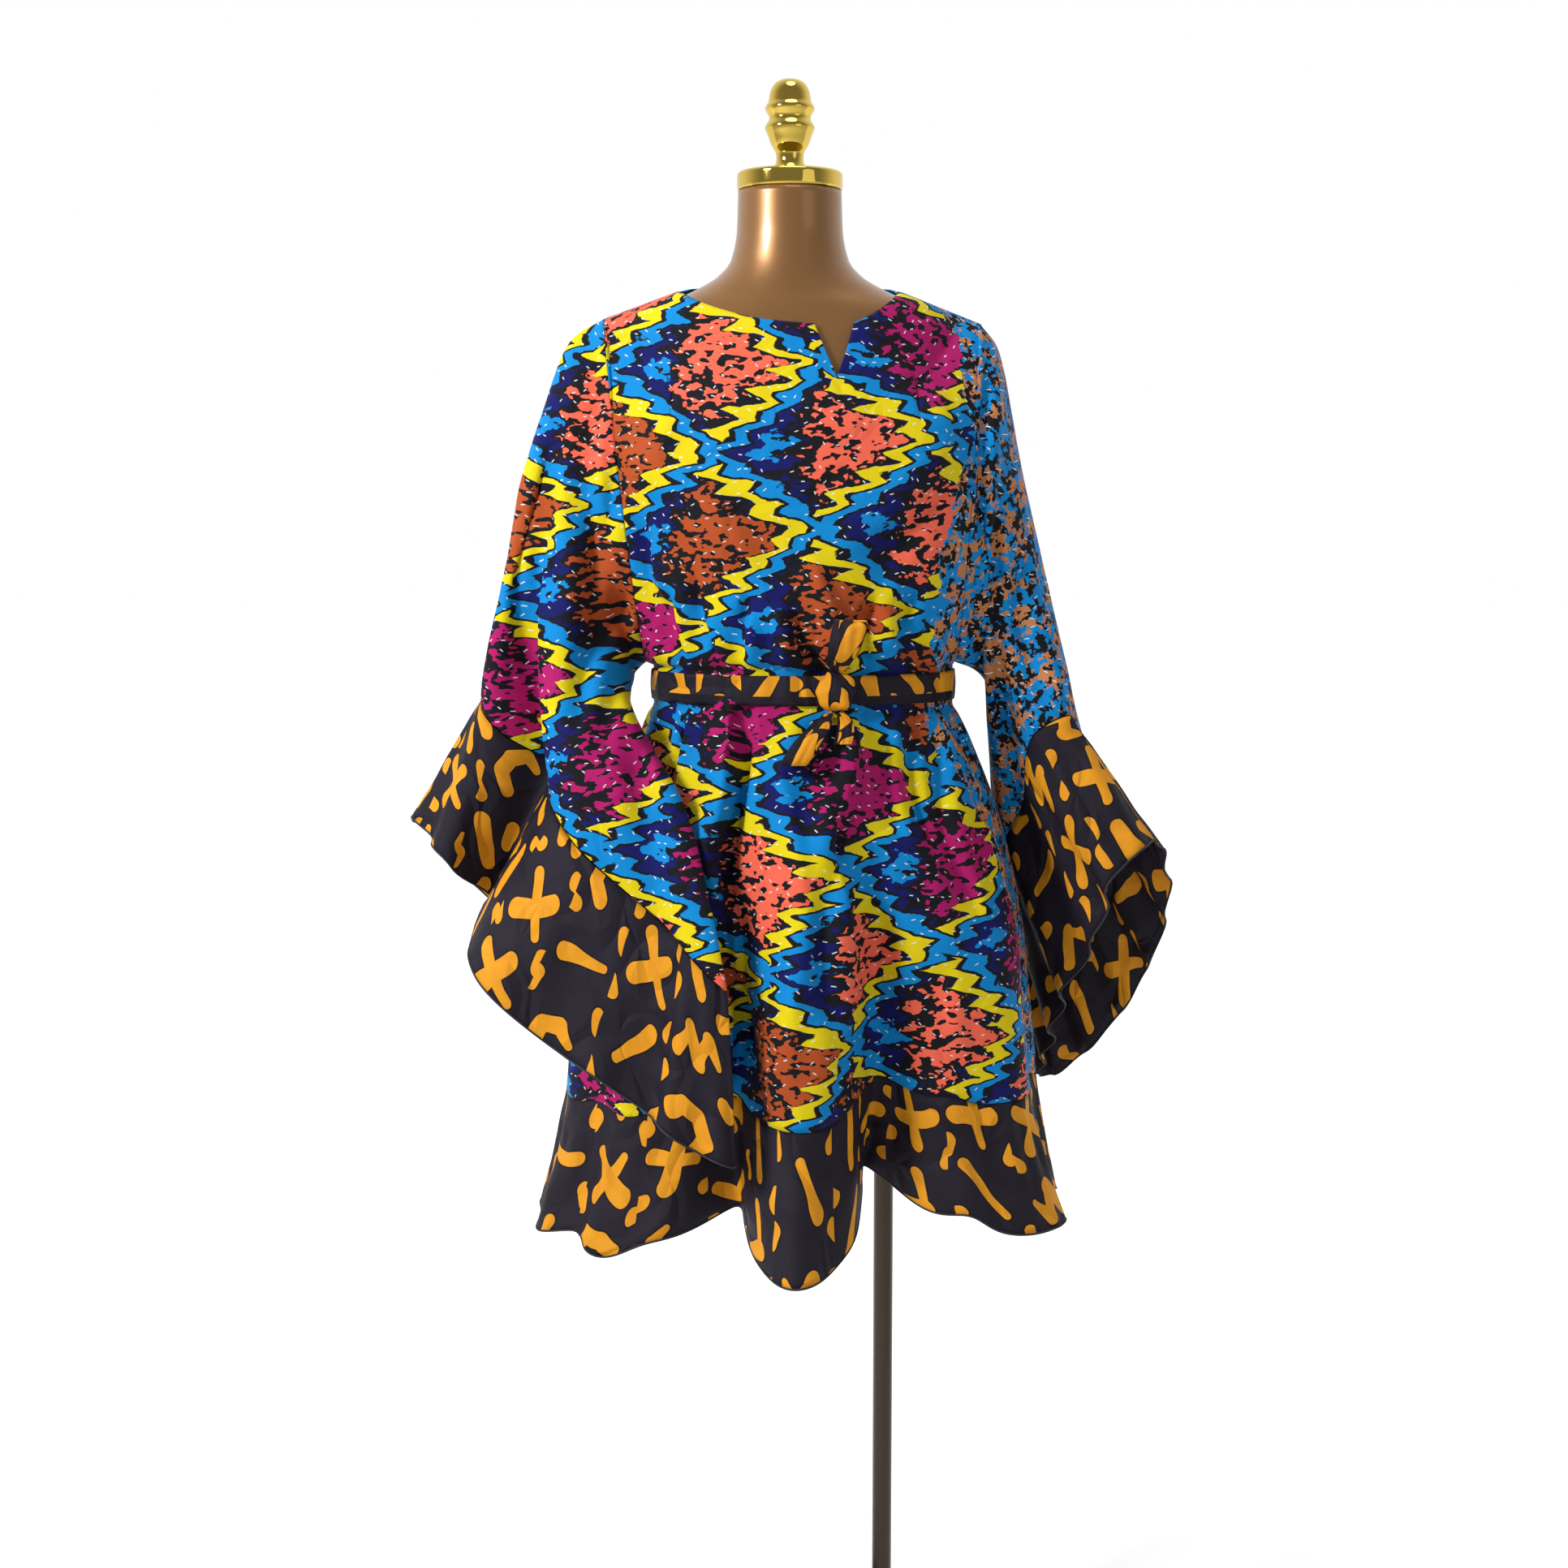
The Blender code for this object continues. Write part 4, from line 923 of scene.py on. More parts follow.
class Print:
    """A material of printed cloth: its tree, its cloth coordinates and the colour built so far."""

    def __init__(self, name):
        self.material = bpy.data.materials.new(name)
        self.material.use_nodes = True
        self.tree = self.material.node_tree
        self.shader = self.tree.nodes["Principled BSDF"]
        place = add(self.tree, "UVMap")
        place.uv_map = "ClothMap"
        self.place = place.outputs[0]
        split = add(self.tree, "SeparateXYZ")
        self.tree.links.new(self.place, split.inputs[0])
        self.u = Term(self.tree, split.outputs[0])
        self.v = Term(self.tree, split.outputs[1])
        self.colour = None

    def point(self, x, y):
        """A place on the cloth, as one socket."""
        node = add(self.tree, "CombineXYZ")
        feed(self.tree, x, node.inputs[0])
        feed(self.tree, y, node.inputs[1])
        return node.outputs[0]

    def channels(self, node):
        """A texture's three colour channels."""
        split = add(self.tree, "SeparateColor")
        self.tree.links.new(node.outputs["Color"], split.inputs[0])
        return [Term(self.tree, split.outputs[k]) for k in range(3)]

    def noise_at(self, place, scale, detail, rough):
        """Noise at a place from about -1 to 1, and two more channels like it."""
        node = add(self.tree, "TexNoise", Scale=scale, Detail=detail, Roughness=rough)
        self.tree.links.new(place, node.inputs["Vector"])
        return [(channel - 0.5) * 2 for channel in self.channels(node)]

    def noise(self, x, y, scale, detail=2.0, rough=0.5):
        """Noise across the cloth."""
        return self.noise_at(self.point(x, y), scale, detail, rough)

    def cloud(self, scale, detail, rough):
        """Noise through space, the same seen from any side."""
        place = add(self.tree, "TexCoord")
        return self.noise_at(place.outputs["Object"], scale, detail, rough)

    def chance(self, x, y):
        """Three even random numbers for a cell."""
        node = add(self.tree, "TexWhiteNoise")
        node.noise_dimensions = "2D"
        self.tree.links.new(self.point(x, y), node.inputs["Vector"])
        return self.channels(node)

    def start(self, colour):
        """The ground colour, under all that is laid after it."""
        node = add(self.tree, "RGB")
        node.outputs[0].default_value = (*colour, 1)
        self.colour = node.outputs[0]

    def lay(self, mask, colour):
        """Lays a colour, or another socket's colour, where the mask is 1."""
        node = add(self.tree, "Mix")
        node.data_type = "RGBA"
        self.tree.links.new(mask.value, node.inputs[0])
        self.tree.links.new(self.colour, node.inputs[6])
        if isinstance(colour, tuple):
            node.inputs[7].default_value = (*colour, 1)
        else:
            self.tree.links.new(colour, node.inputs[7])
        self.colour = node.outputs[2]

    def finish(self, roughness, sheen, specular, weave, wrinkle, crease):
        """Joins the colour, the weave's bump, small wrinkles and crisp crease lines to the shader."""
        self.tree.links.new(self.colour, self.shader.inputs["Base Color"])
        fill(self.shader, Roughness=roughness, Sheen_Weight=sheen, Sheen_Roughness=0.4,
             Specular_IOR_Level=specular)
        threads = zigzag(self.u * THREADS) * zigzag(self.v * THREADS)
        small = self.noise(self.u, self.v * 0.6, 38.0, 3.0, 0.55)[0]
        lines = self.noise(self.u, self.v, 9.0, 1.0, 0.5)
        pressed = lines[0].size().least(lines[1].size()).least(0.12) / 0.12
        height = threads * weave + small * wrinkle + pressed * crease
        bump = add(self.tree, "Bump", Strength=0.8, Distance=0.001)
        self.tree.links.new(height.value, bump.inputs["Height"])
        self.tree.links.new(bump.outputs[0], self.shader.inputs["Normal"])
        return self.material


def dashes(cloth, u, v):
    """Short pale dashes, one loose and turned its own way in most cells of a small grid."""
    across, up = u / DASH_STEP, v / DASH_STEP
    column, row = across.floor(), up.floor()
    loose, more = cloth.chance(column, row), cloth.chance(column + 57.0, row + 23.0)
    x = (across.part() - 0.5 + (loose[0] - 0.5) * 0.5) * DASH_STEP
    y = (up.part() - 0.5 + (loose[1] - 0.5) * 0.5) * DASH_STEP
    along, beside = turned_round(x, y, (more[0] - 0.5) * 1.9)
    inside = along.size().below(DASH_LENGTH / 2, 0.0006) * beside.size().below(DASH_THICK / 2, 0.0005)
    return inside * more[1].above(0.40, 0.01)


# The net's unevenness in metres: a broad bend, frayed edges and drawn-out jags, across and up
NET_BEND = 0.012
NET_FRAY = (0.0022, 0.0024)
NET_JAG = (0.009, 0.006)

# Inside each mesh, in metres from its middle: the blue spot, and how far the mottled lozenge stays from
# the mesh's own left, from the bands to its left and from those to its right
SPOT_PLACE, SPOT_SIZE = (-0.060, -0.003), (0.017, 0.012)
LOZENGE_LEFT = -0.040
LOZENGE_INSETS = (0.016, 0.024)

# Lattice of the main print: two steps from motif to motif, right and up, in metres
STEP_A = (0.123, -0.077)
STEP_B = (-0.102, -0.094)
CELL_TURN = STEP_A[0] * STEP_B[1] - STEP_A[1] * STEP_B[0]
NET_ORIGIN = (0.003, 1.3425)
EDGE_A = abs(CELL_TURN) / math.hypot(*STEP_B)
EDGE_B = abs(CELL_TURN) / math.hypot(*STEP_A)


def main_print():
    """Blue cloth in a net of zigzag bands, with a mottled lozenge in each mesh of the net."""
    cloth = Print("wax_print_cloth")
    u0, v0 = cloth.u, cloth.v
    broad = cloth.noise(u0, v0, 14.0, 1.0)
    ragged = cloth.noise(u0, v0, 105.0, 2.0, 0.6)
    jag_across = cloth.noise(u0 * 0.18, v0, 62.0, 1.0, 0.5)[0]
    jag_up = cloth.noise(u0, v0 * 0.25 + 7.0, 48.0, 1.0, 0.5)[1]
    tooth = zigzag(v0 / TOOTH + broad[2] * 0.30)
    u = u0 + broad[0] * NET_BEND + ragged[0] * NET_FRAY[0] + jag_across * NET_JAG[0] + tooth * TOOTH_DEPTH
    v = v0 + broad[1] * NET_BEND + ragged[1] * NET_FRAY[1] + jag_up * NET_JAG[1]
    x, y = u - NET_ORIGIN[0], v - NET_ORIGIN[1]
    s = (x * STEP_B[1] - y * STEP_B[0]) / CELL_TURN + 0.5
    t = (y * STEP_A[0] - x * STEP_A[1]) / CELL_TURN + 0.5
    s2 = s + zigzag(t * ZIGZAGS + 0.15) * ZIGZAG_DEPTH
    t2 = t + zigzag(s * ZIGZAGS + 0.65) * ZIGZAG_DEPTH
    fs, ft = s2.part() - 0.5, t2.part() - 0.5
    pick = (t2.floor() / 3 + 0.05).part()
    right = ((0.5 - fs) * EDGE_A).least((ft + 0.5) * EDGE_B)
    left = ((fs + 0.5) * EDGE_A).least((0.5 - ft) * EDGE_B)
    net = right.least(left)
    x = fs * STEP_A[0] + ft * STEP_B[0]
    y = fs * STEP_A[1] + ft * STEP_B[1]
    cloth.start(NAVY)
    away = [(place - middle) / size for place, middle, size in zip((x, y), SPOT_PLACE, SPOT_SIZE)]
    spot = away[0] * away[0] + away[1] * away[1] + ragged[2] * 1.6
    cloth.lay(spot.below(1.0, 0.1), CYAN)
    edge = (x - LOZENGE_LEFT).least(left - LOZENGE_INSETS[0]).least(right - LOZENGE_INSETS[1])
    edge = edge + ragged[2] * 0.014 + broad[2] * 0.010
    shreds = cloth.noise(u0 * 0.7, v0 * 1.3, 90.0, 2.0, 0.6)
    cloth.lay((edge + 0.018).above(0.0, 0.001) * shreds[2].above(0.10, 0.02), BLACK)
    cloth.lay(edge.above(-0.003, 0.001), BLACK)
    heart = add(cloth.tree, "ValToRGB")
    heart.color_ramp.interpolation = "CONSTANT"
    stops = heart.color_ramp.elements
    stops[0].color = (*CORAL, 1)
    stops[1].position, stops[1].color = 1 / 3, (*RUST, 1)
    third = stops.new(2 / 3)
    third.color = (*MAGENTA, 1)
    cloth.tree.links.new(pick.value, heart.inputs[0])
    cloth.lay(edge.above(0.004, 0.001), heart.outputs[0])
    fleck = cloth.noise(u0 * 0.75, v0 * 1.3, 112.0, 1.0, 0.5)[0]
    fleck = fleck + cloth.noise(u0 * 0.8, v0 * 1.4, 55.0, 1.0)[1] * 0.5
    leaning = (x + 0.012) * -3.6
    cloth.lay(edge.above(-0.002, 0.001) * (fleck + leaning).above(0.02, 0.02), BLACK)
    band = right + ragged[1] * 0.0024 - tooth * 0.0032
    cloth.lay(band.below(YELLOW_HALF, PRINT_SOFT), YELLOW)
    cloth.lay(net.below(BLACK_HALF, PRINT_SOFT), BLACK)
    cloth.lay((net + ragged[0] * 0.0026).below(BLUE_HALF, PRINT_SOFT), CYAN)
    mottled = camouflage(cloth)
    below_belt = (BELT_TOP - v0).most(0.0)
    border = SIDE_START + below_belt * SIDE_SLANT - below_belt.above(0.0, 0.01) * SIDE_STEP
    border = border.least(SIDE_MOST)
    cloth.lay((u0 + ragged[0] * 0.010 + broad[0] * 0.016 - border).above(0.0, 0.001), mottled)
    cloth.lay(dashes(cloth, u0, v0), PALE)
    return cloth.finish(roughness=0.74, sheen=0.02, specular=0.16, weave=0.10, wrinkle=0.8, crease=1.6)


def camouflage(cloth):
    """Mottled blue, tan and black, as a colour socket."""
    kept = cloth.colour
    cloth.start(CYAN)
    broad, fine = cloth.cloud(52.0, 1.0, 0.6), cloth.cloud(150.0, 2.0, 0.6)
    cloth.lay((broad[0] + fine[0] * 0.6).above(0.0, 0.02), TAN)
    cloth.lay((fine[1] * 0.9 + broad[1] * 0.6).above(0.06, 0.02), BLACK)
    cloth.lay((broad[2] + fine[2] * 0.6).above(0.26, 0.02), CYAN)
    made = cloth.colour
    cloth.colour = kept
    return made


# Marks of the ruffle's print, in a square cell 1 across: strokes as start x, start y, end x, end y and how
# much the stroke narrows towards its end
Stroke = namedtuple("Stroke", "x0 y0 x1 y1 taper")
MARKS = [table(Stroke, mark) for mark in [
    [(-0.34, -0.08, -0.12, 0.20, 0.03), (-0.12, 0.20, 0.02, -0.14, -0.02),
     (0.02, -0.14, 0.22, 0.16, 0.03), (0.22, 0.16, 0.36, -0.10, 0.05)],
    [(-0.30, -0.20, 0.28, 0.22, 0.03), (-0.16, 0.26, 0.20, -0.28, -0.03)],
    [(-0.28, 0.14, -0.10, 0.28, 0.0), (-0.10, 0.28, 0.14, 0.22, 0.0),
     (0.14, 0.22, 0.24, 0.00, 0.0), (0.24, 0.00, 0.10, -0.16, 0.04)],
    [(-0.10, -0.32, 0.10, 0.30, 0.04)],
    [(-0.26, -0.24, -0.22, -0.02, 0.0), (0.02, 0.30, 0.20, -0.22, -0.04)],
    [(-0.20, 0.02, 0.24, 0.10, 0.06), (0.24, 0.10, 0.30, -0.24, 0.02)],
]]
# The small bar that fills the gap between four cells
FILLER = Stroke(-0.06, -0.03, 0.07, 0.05, 0.01)


def stroke(x, y, part):
    """Distance from a point of the cell to a straight stroke, growing as the stroke narrows."""
    run = (part.x1 - part.x0, part.y1 - part.y0)
    long = run[0] ** 2 + run[1] ** 2
    away_x, away_y = x - part.x0, y - part.y0
    along = ((away_x * run[0] + away_y * run[1]) / long).made("ADD", 0.0, clamp=True)
    miss_x, miss_y = away_x - along * run[0], away_y - along * run[1]
    return (miss_x * miss_x + miss_y * miss_y).made("SQRT") + along * part.taper


def turned_round(x, y, turn):
    """A point turned about the origin."""
    cosine, sine = turn.made("COSINE"), turn.made("SINE")
    return x * cosine + y * sine, y * cosine - x * sine


def mark_distance(cloth, u, v, cell):
    """Distance in metres to the nearest stroke of a loose pattern of marks, a mark to each cell."""
    across = u / cell
    column = across.floor()
    up = v / cell + cloth.chance(column, column * 0 + 5.0)[0]
    row = up.floor()
    pick = cloth.chance(column, row)
    more = cloth.chance(column + 31.0, row + 17.0)
    x = across.part() - 0.5 + (more[0] - 0.5) * 0.10
    y = up.part() - 0.5 + (more[1] - 0.5) * 0.10
    a, b = turned_round(x, y, pick[1] * 2 * math.pi)
    share = 1 / len(MARKS)
    distance = None
    for k, parts in enumerate(MARKS):
        nearest = stroke(a, b, parts[0])
        for part in parts[1:]:
            nearest = nearest.least(stroke(a, b, part))
        chosen = pick[0].above(k * share, 0.0001) * pick[0].below((k + 1) * share, 0.0001)
        nearest = nearest * chosen
        distance = nearest if distance is None else distance + nearest
    right, above = across + 0.5, up + 0.5
    turn = cloth.chance(right.floor(), above.floor() + 9.0)[0] * 6.0
    a, b = turned_round(right.part() - 0.5, above.part() - 0.5, turn)
    return distance.least(stroke(a, b, FILLER)) * cell


def ruffle_print(name, cell, half, selvedge=None):
    """Dark cloth with loose amber strokes, each edged by a thin black line, bare below the selvedge."""
    cloth = Print(name)
    wobble = cloth.noise(cloth.u, cloth.v, 26.0, 1.0)
    u, v = cloth.u + wobble[0] * 0.0045, cloth.v + wobble[1] * 0.0045
    distance = mark_distance(cloth, u, v, cell) + wobble[2] * 0.0012
    cloth.start(AUBERGINE)
    cloth.lay(cloth.noise(cloth.u, cloth.v, 14.0, 3.0)[0].above(0.2, 1.2) * 0.5, AUBERGINE_LIGHT)
    cloth.lay(distance.below(half + MARK_LINE, PRINT_SOFT), BLACK)
    inside = distance.below(half, PRINT_SOFT)
    cloth.lay(inside, AMBER)
    cloth.lay(inside * cloth.noise(cloth.u, cloth.v, 60.0, 3.0)[1].above(0.3, 0.9) * 0.5, AMBER_DEEP)
    if selvedge is not None:
        cloth.lay(cloth.v.below(selvedge, 0.0005), AUBERGINE)
    return cloth.finish(roughness=0.62, sheen=0.0, specular=0.12, weave=0.08, wrinkle=0.8, crease=4.0)


def plain_finish(name, colour, roughness, metallic, coat, grain, grain_depth):
    """A hard finish with a little unevenness in its colour, gloss and surface."""
    made = bpy.data.materials.new(name)
    made.use_nodes = True
    tree = made.node_tree
    shader = tree.nodes["Principled BSDF"]
    place = add(tree, "TexCoord")
    noise = add(tree, "TexNoise", Scale=grain, Detail=4.0)
    tree.links.new(place.outputs["Object"], noise.inputs["Vector"])
    tint = add(tree, "ValToRGB")
    tint.color_ramp.elements[0].color = (*[c * 0.88 for c in colour], 1)
    tint.color_ramp.elements[1].color = (*[min(1, c * 1.12) for c in colour], 1)
    tree.links.new(noise.outputs["Fac"], tint.inputs[0])
    tree.links.new(tint.outputs[0], shader.inputs["Base Color"])
    span = add(tree, "MapRange", To_Min=roughness * 0.8, To_Max=roughness * 1.25)
    tree.links.new(noise.outputs["Fac"], span.inputs["Value"])
    tree.links.new(span.outputs[0], shader.inputs["Roughness"])
    bump = add(tree, "Bump", Strength=0.3, Distance=grain_depth)
    tree.links.new(noise.outputs["Fac"], bump.inputs["Height"])
    tree.links.new(bump.outputs[0], shader.inputs["Normal"])
    fill(shader, Metallic=metallic, Coat_Weight=coat, Coat_Roughness=0.12)
    return made


def pleated(points, around, count, phase):
    """Small uneven gathers that start at a ruffle's seam and fade down it."""
    out = normals(points, around)
    columns = points.shape[1]
    turn = np.arange(columns) / columns
    shape = np.cos(2 * math.pi * count * turn + phase + 1.6 * np.sin(2 * math.pi * 5 * turn + phase))
    shape = shape + 0.6 * np.cos(2 * math.pi * (count * 0.43) * turn + 2.1 * phase)
    share = np.linspace(0, 1, len(points))
    strength = np.sin(math.pi * np.clip(share / PLEAT_END, 0, 1)) * (share < PLEAT_END)
    strength = np.maximum(strength, 0.35 * ramp(share, 0.05, 0.4))
    return points + out * (PLEAT_DEPTH * strength[:, None] * shape[None, :])[..., None]


def tucked(seam):
    """A seam's row moved up and in, behind the edge that it's sewn to."""
    reach = np.linalg.norm(seam[:, :2], axis=1)[:, None]
    row = seam.copy()
    row[:, :2] *= 1 - SEAM_TUCK / reach
    row[:, 2] += SEAM_TUCK
    return row


def ribbon_fine(strips):
    """A folded strip at a finer step, with a slight curl across it."""
    at = np.linspace(0, len(strips) - 1, STRIP_STEPS)
    across = np.linspace(-1, 1, STRIP_COLUMNS)
    points = []
    for x, out, up, half in through(range(len(strips)), strips, at):
        curl = STRIP_CURL * np.abs(across) + 0.0006 * np.sin(9 * across + up * 90)
        points.append(np.stack([x + half * across, curl - out, np.full(STRIP_COLUMNS, up)], 1))
    points = np.array(points)
    along = run_along(points[:, STRIP_COLUMNS // 2])
    return points, np.stack(np.broadcast_arrays(along[:, None], across[None, :] * 0.016), 2)


def knot_piece(finish):
    """The tight knot: a soft ball with the turns of the band round it."""
    tilt = math.pi * (np.arange(KNOT_ROWS)[:, None] + 0.02) / (KNOT_ROWS - 0.96)
    turn = 2 * math.pi * np.arange(KNOT_COLUMNS) / KNOT_COLUMNS
    level = np.sin(tilt)
    ball = np.stack(np.broadcast_arrays(level * np.cos(turn), level * np.sin(turn), np.cos(tilt)), 2)
    ridge = 0.07 * np.sin(5 * (ball[..., 0] * 1.1 + ball[..., 2] * 0.6) + 0.8)
    ridge += 0.03 * np.sin(11 * ball[..., 2] + 2)
    grid = ball * KNOT_SIZE * (1 + ridge)[..., None] + KNOT_PLACE
    u, v = np.arange(KNOT_COLUMNS + 1) * 0.0014 + 0.31, np.arange(KNOT_ROWS) * 0.0016 + 0.12
    return shell("bow_knot_cloth", grid, np.stack(np.meshgrid(u, v), 2), finish, around=True, wall=0)


def belt_fine(front, back):
    """The belt at a finer step, slightly hollow across its width, with small tucks."""
    top, low = belt_band(front, back)
    out = top - top.mean(axis=0)
    out[:, 2] = 0
    out = unit(out)
    turn = circle(len(top))
    rows = []
    for share in np.linspace(0, 1, BELT_ROWS):
        bow = math.sin(math.pi * share)
        tuck = 0.0007 * np.cos(41 * turn + 2 * np.sin(5 * turn) + 1.5 * share)
        rows.append(top + (low - top) * share + out * (0.0006 * bow + tuck * bow ** 0.5)[:, None])
    return np.array(rows)


def light(name, size, energy, place, aim):
    """A round soft lamp at a place, turned to a point."""
    data = bpy.data.lights.new(name, "AREA")
    data.shape = "DISK"
    data.size = size
    data.energy = energy
    made = bpy.data.objects.new(name, data)
    made.location = place
    x, y, z = np.array(aim) - np.array(place)
    made.rotation_euler = (math.atan2(math.hypot(x, y), -z), 0, math.atan2(x, -y) + math.pi)
    bpy.context.scene.collection.objects.link(made)


def along_y(tree, kind, span, low, high):
    """A socket that eases from low to high over a span of Y, in one kind of texture coordinates."""
    place = add(tree, "TexCoord")
    split = add(tree, "SeparateXYZ")
    ease = add(tree, "MapRange", From_Min=span[0], From_Max=span[1], To_Min=low, To_Max=high)
    ease.interpolation_type = "SMOOTHSTEP"
    tree.links.new(place.outputs[kind], split.inputs[0])
    tree.links.new(split.outputs[1], ease.inputs["Value"])
    return ease.outputs[0]


def studio():
    """Pale floor, soft lights and the photograph's camera."""
    scene = bpy.context.scene
    scene.view_settings.view_transform = "Standard"
    scene.world = bpy.data.worlds.new("studio")
    scene.world.use_nodes = True
    tree = scene.world.node_tree
    back = tree.nodes["Background"]
    back.inputs[1].default_value = 1.0
    tree.links.new(along_y(tree, "Generated", SKY_SPAN, SKY_FRONT, SKY_BACK), back.inputs[0])
    paint = bpy.data.materials.new("pale_floor")
    paint.use_nodes = True
    tree = paint.node_tree
    shader = tree.nodes["Principled BSDF"]
    fill(shader, Base_Color=(*FLOOR_PAINT, 1), Roughness=0.9, Emission_Color=(1, 1, 1, 1))
    glow = along_y(tree, "Object", FLOOR_SPAN, 0.0, FLOOR_GLOW)
    tree.links.new(glow, shader.inputs["Emission Strength"])
    mesh = bpy.data.meshes.new("floor")
    corners = [(x * FLOOR_HALF, y * FLOOR_HALF, 0) for x, y in ((-1, -1), (1, -1), (1, 1), (-1, 1))]
    mesh.from_pydata(corners, [], [(0, 1, 2, 3)])
    placed("floor", mesh, paint)
    for row in LIGHTS:
        light(*row)
    data = bpy.data.cameras.new("view")
    data.sensor_width = SENSOR
    data.lens = SENSOR * CAMERA_FOCAL / PHOTO_SIDE
    made = bpy.data.objects.new("view", data)
    made.location = CAMERA_PLACE
    made.rotation_euler = (math.radians(90 - CAMERA_TILT), 0, 0)
    scene.collection.objects.link(made)
    scene.camera = made


CREASES = {"front": FRONT_CREASES, "back": BACK_CREASES}
# Cuts of the strips of the bow
STRIPS = [("bow_loop", BOW_LOOP, (0.030, 0.120)), ("bow_tail", BOW_TAIL, (0.030, 0.110)),
          ("bow_short_tail", SHORT_TAIL, (0.018, 0.036))]

# Sleeves: their tables, the phase of the ruffle's waves, where the print starts across and how far it is
# taken from the side, which way the sleeve lies, and the cuts of sleeve and cuff
Arm = namedtuple("Arm", "side sections folds falls creases phase start slant sign cut cuff_cut")
ARMS = table(Arm, [
    ("right", RIGHT_SLEEVE, RIGHT_SLEEVE_FOLDS, RIGHT_CUFF, RIGHT_SLEEVE_CREASES, 0.4, -0.620, 0.35, -1,
     (0.74, 0.28), (1.05, 0.155)),
    ("left", LEFT_SLEEVE, LEFT_SLEEVE_FOLDS, LEFT_CUFF, LEFT_SLEEVE_CREASES, 2.0, 0.300, 0.2, 1,
     (0.74, 0.20), (0.80, 0.150)),
])


def ruffle(kind, side, rows, around, pleats, phase, seed, start, finishes, seam=None):
    """A gathered ruffle and its rolled edge, in their node's place."""
    rows = crumple(pleated(rows, around, pleats, phase), around, 0.020, seed)
    if seam is not None:
        rows[0] = seam
    roll = edge_roll(f"{kind}_edge_{side}", rows[-1], finishes[1], around)
    piece = shell(f"cloth_{kind}_{side}", rows, ruffle_cloth(rows, around, start), finishes[0], around)
    wear(piece, f"{kind}_ruffle_{side}")
    plain(roll)


def dress():
    """Every piece of cloth, on its solid's form."""
    print_main = main_print()
    thread = plain_finish("rolled_edge_thread", THREAD, 0.7, 0.0, 0.0, 900.0, 0.0003)
    finishes = ruffle_print("ruffle_print_cloth", MARK_CELL, MARK_HALF), thread
    print_belt = ruffle_print("belt_print_cloth", BELT_MARK_CELL, BELT_MARK_HALF, SELVEDGE)
    panels = {column: body_panel(column) for column in SIGN}
    for column, base in panels.items():
        facing = SIGN[column]
        made = crumple(creased(base, CREASES[column], facing), False, 0.030, 1.0 + facing)
        beside = ramp(1 - np.abs(np.linspace(-1, 1, base.shape[1])), 0, 0.12)
        hold = np.tile(beside, (len(base), 1))
        hold[[0, -1]] = 0
        made = clear_of_form(base + (made - base) * hold[..., None], column, facing)
        piece = shell(f"cloth_body_{column}", made, panel_cloth(base), print_main)
        wear(piece, f"body_{column}")
        ruffle("hem", column, hem_ruffle(base, column), False, 23, 0.7 + facing, 3.0 + facing, 0.3 * facing,
               finishes, tucked(split_row(base[-1], HEM_SPLIT, False)))
    alongs = np.linspace(0, 1, FINE_SLEEVE_ROWS)
    hold = ramp(alongs, 0, 0.06) * ramp(1 - alongs, 0, 0.04)
    for arm in ARMS:
        rings = sleeve_grid(arm.sections, arm.folds, HUG[arm.side], alongs, sleeve_turns())
        made = crumple(creased(rings, arm.creases, -1, True), True, 0.028, 5.0 + arm.sign)
        made = rings + (made - rings) * hold[:, None, None]
        flat = sleeve_cloth(rings, arm.start, arm.slant)
        piece = shell(f"cloth_sleeve_{arm.side}", made, flat, print_main, around=True)
        wear(piece, f"sleeve_{arm.side}")
        ruffle("cuff", arm.side, cuff_ruffle(rings[-1], arm.falls, arm.phase), True, 19, arm.phase,
               7.0 + arm.sign, 0.9 * arm.sign, finishes)
    belt = belt_fine(panels["front"], panels["back"])
    piece = shell("cloth_belt", belt, ruffle_cloth(belt, True, 0.0), print_belt, around=True, wall=BELT_WALL)
    wear(piece, "belt")
    for name, strips, cut in STRIPS:
        points, flat = ribbon_fine(strips)
        piece = shell(f"cloth_{name}", points, flat + [0.05 * len(name), 0.02], print_belt, wall=STRIP_WALL)
        wear(piece, name)
    knot = knot_piece(print_belt)
    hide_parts("bow_knot")
    plain(knot)


def plain(piece):
    """Puts a piece on the part's one body."""
    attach(piece, "root")


def wear(piece, node):
    """Puts a piece of cloth in its node's place and hides that node's solid."""
    plain(piece)
    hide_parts(node)


def rounded(profile, cut):
    """A profile with its corners cut off twice over."""
    points = [np.array(turn) for turn in profile]
    for _ in range(2):
        inner = []
        for low, high in zip(points, points[1:]):
            inner += [low + (high - low) * cut, high + (low - high) * cut]
        points = [points[0]] + inner + [points[-1]]
    return points


def lathe(node, profile, finish, cut=0.1, across=0.0):
    """A turned piece in its node's place, finer round and with its corners eased."""
    points = rounded(profile, cut)
    turns = circle(LATHE_STEPS)
    rows = [[(across + r * math.cos(t), r * math.sin(t), z) for t in turns] for r, z in points[1:-1]]
    mesh = grid_mesh(f"fine_{node}", np.array(rows), True)
    place_hard(node, mesh, finish, len(rows))


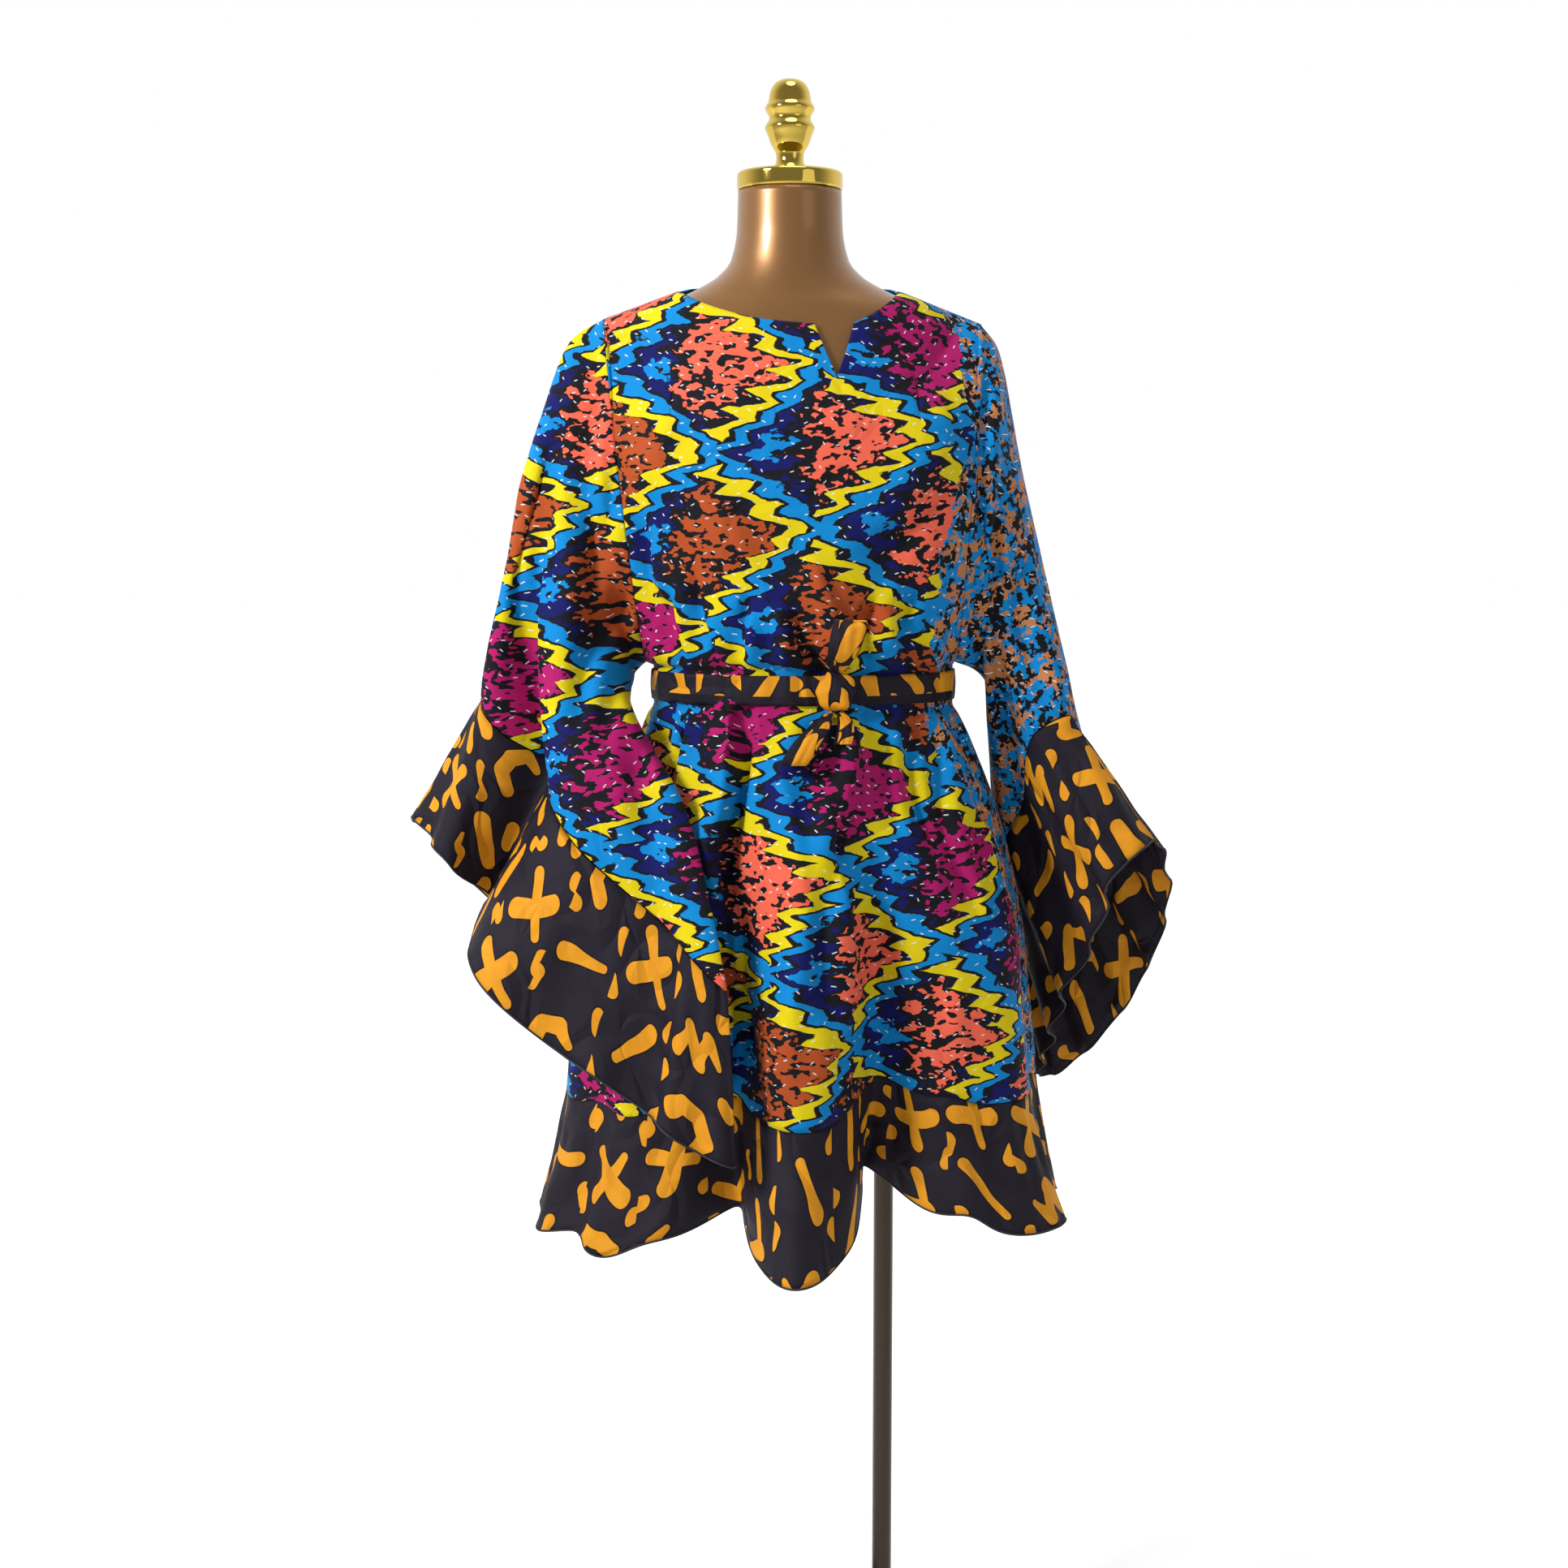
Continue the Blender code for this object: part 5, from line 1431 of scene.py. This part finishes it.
def place_hard(node, mesh, finish, rows):
    """Closes the two ends of a tube of rows and puts it in its node's place."""
    shape = bmesh.new()
    shape.from_mesh(mesh)
    verts = list(shape.verts)
    count = len(verts) // rows
    shape.faces.new(verts[:count])
    shape.faces.new(verts[:-count - 1:-1])
    shape.normal_update()
    bmesh.ops.recalc_face_normals(shape, faces=shape.faces)
    shape.to_mesh(mesh)
    shape.free()
    mesh.shade_smooth()
    for face in mesh.polygons:
        if len(face.vertices) > 4:
            face.use_smooth = False
    made = placed(mesh.name, mesh, finish)
    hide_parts(node)
    plain(made)


def form_piece(finish):
    """The dress form's torso, smooth round and down."""
    heights = np.linspace(FORM[0].height, FORM[-1].height, FORM_ROWS)
    widths, fronts, backs = by_height(FORM, heights, ("half_width", "front", "back")).T
    turns = circle(FORM_TURNS)
    rows = []
    for height, width, front, back in zip(heights, widths, fronts, backs):
        depth = np.where(np.sin(turns) < 0, front, back)
        rows.append(np.stack([width * np.cos(turns), depth * np.sin(turns), np.full(FORM_TURNS, height)], 1))
    mesh = grid_mesh("fine_form_torso", np.array(rows), True)
    place_hard("form_torso", mesh, finish, len(rows))


def hard_pieces():
    """The form, its brass cap and finial, and its stand."""
    bronze = plain_finish("pearl_bronze_lacquer", BRONZE, 0.34, 0.50, 0.4, 900.0, 0.00012)
    brass = plain_finish("polished_gold_brass", BRASS, 0.06, 1.0, 0.0, 30.0, 0.0001)
    dark = plain_finish("dark_bronze_paint", DARK_PAINT, 0.30, 0.8, 0.3, 80.0, 0.0001)
    form_piece(bronze)
    lathe("neck_cap", CAP, brass)
    lathe("finial", FINIAL, brass, cut=0.25)
    under = FORM[-1].height - SEAM_GAP
    collar_low = under - COLLAR_HEIGHT
    pole_top, pole_low = collar_low - SEAM_GAP, BASE_HEIGHT + BOSS_HEIGHT + SEAM_GAP
    boss_low, boss_high = BASE_HEIGHT + SEAM_GAP, BASE_HEIGHT + BOSS_HEIGHT
    profiles = {
        "pole_collar": [(0, under), (COLLAR_RADIUS, under), (COLLAR_RADIUS, under - COLLAR_HEIGHT / 2),
                        (COLLAR_RADIUS * 0.7, collar_low), (0, collar_low)],
        "stand_pole": [(0, pole_top), (POLE_RADIUS, pole_top), (POLE_RADIUS, pole_low), (0, pole_low)],
        "base_boss": [(0, boss_high), (BOSS_RADIUS * 0.75, boss_high), (BOSS_RADIUS, boss_high - 0.006),
                      (BOSS_RADIUS, boss_low), (0, boss_low)],
        "stand_base": [(0, BASE_HEIGHT), (BASE_RADIUS * 0.97, BASE_HEIGHT),
                       (BASE_RADIUS, BASE_HEIGHT * 0.5), (BASE_RADIUS, 0), (0, 0)],
    }
    for node, profile in profiles.items():
        across = 0.0 if node == "stand_base" else POLE_X
        lathe(node, table(Turn, profile), dark, cut=0.03, across=across)


dress()
hard_pieces()
studio()
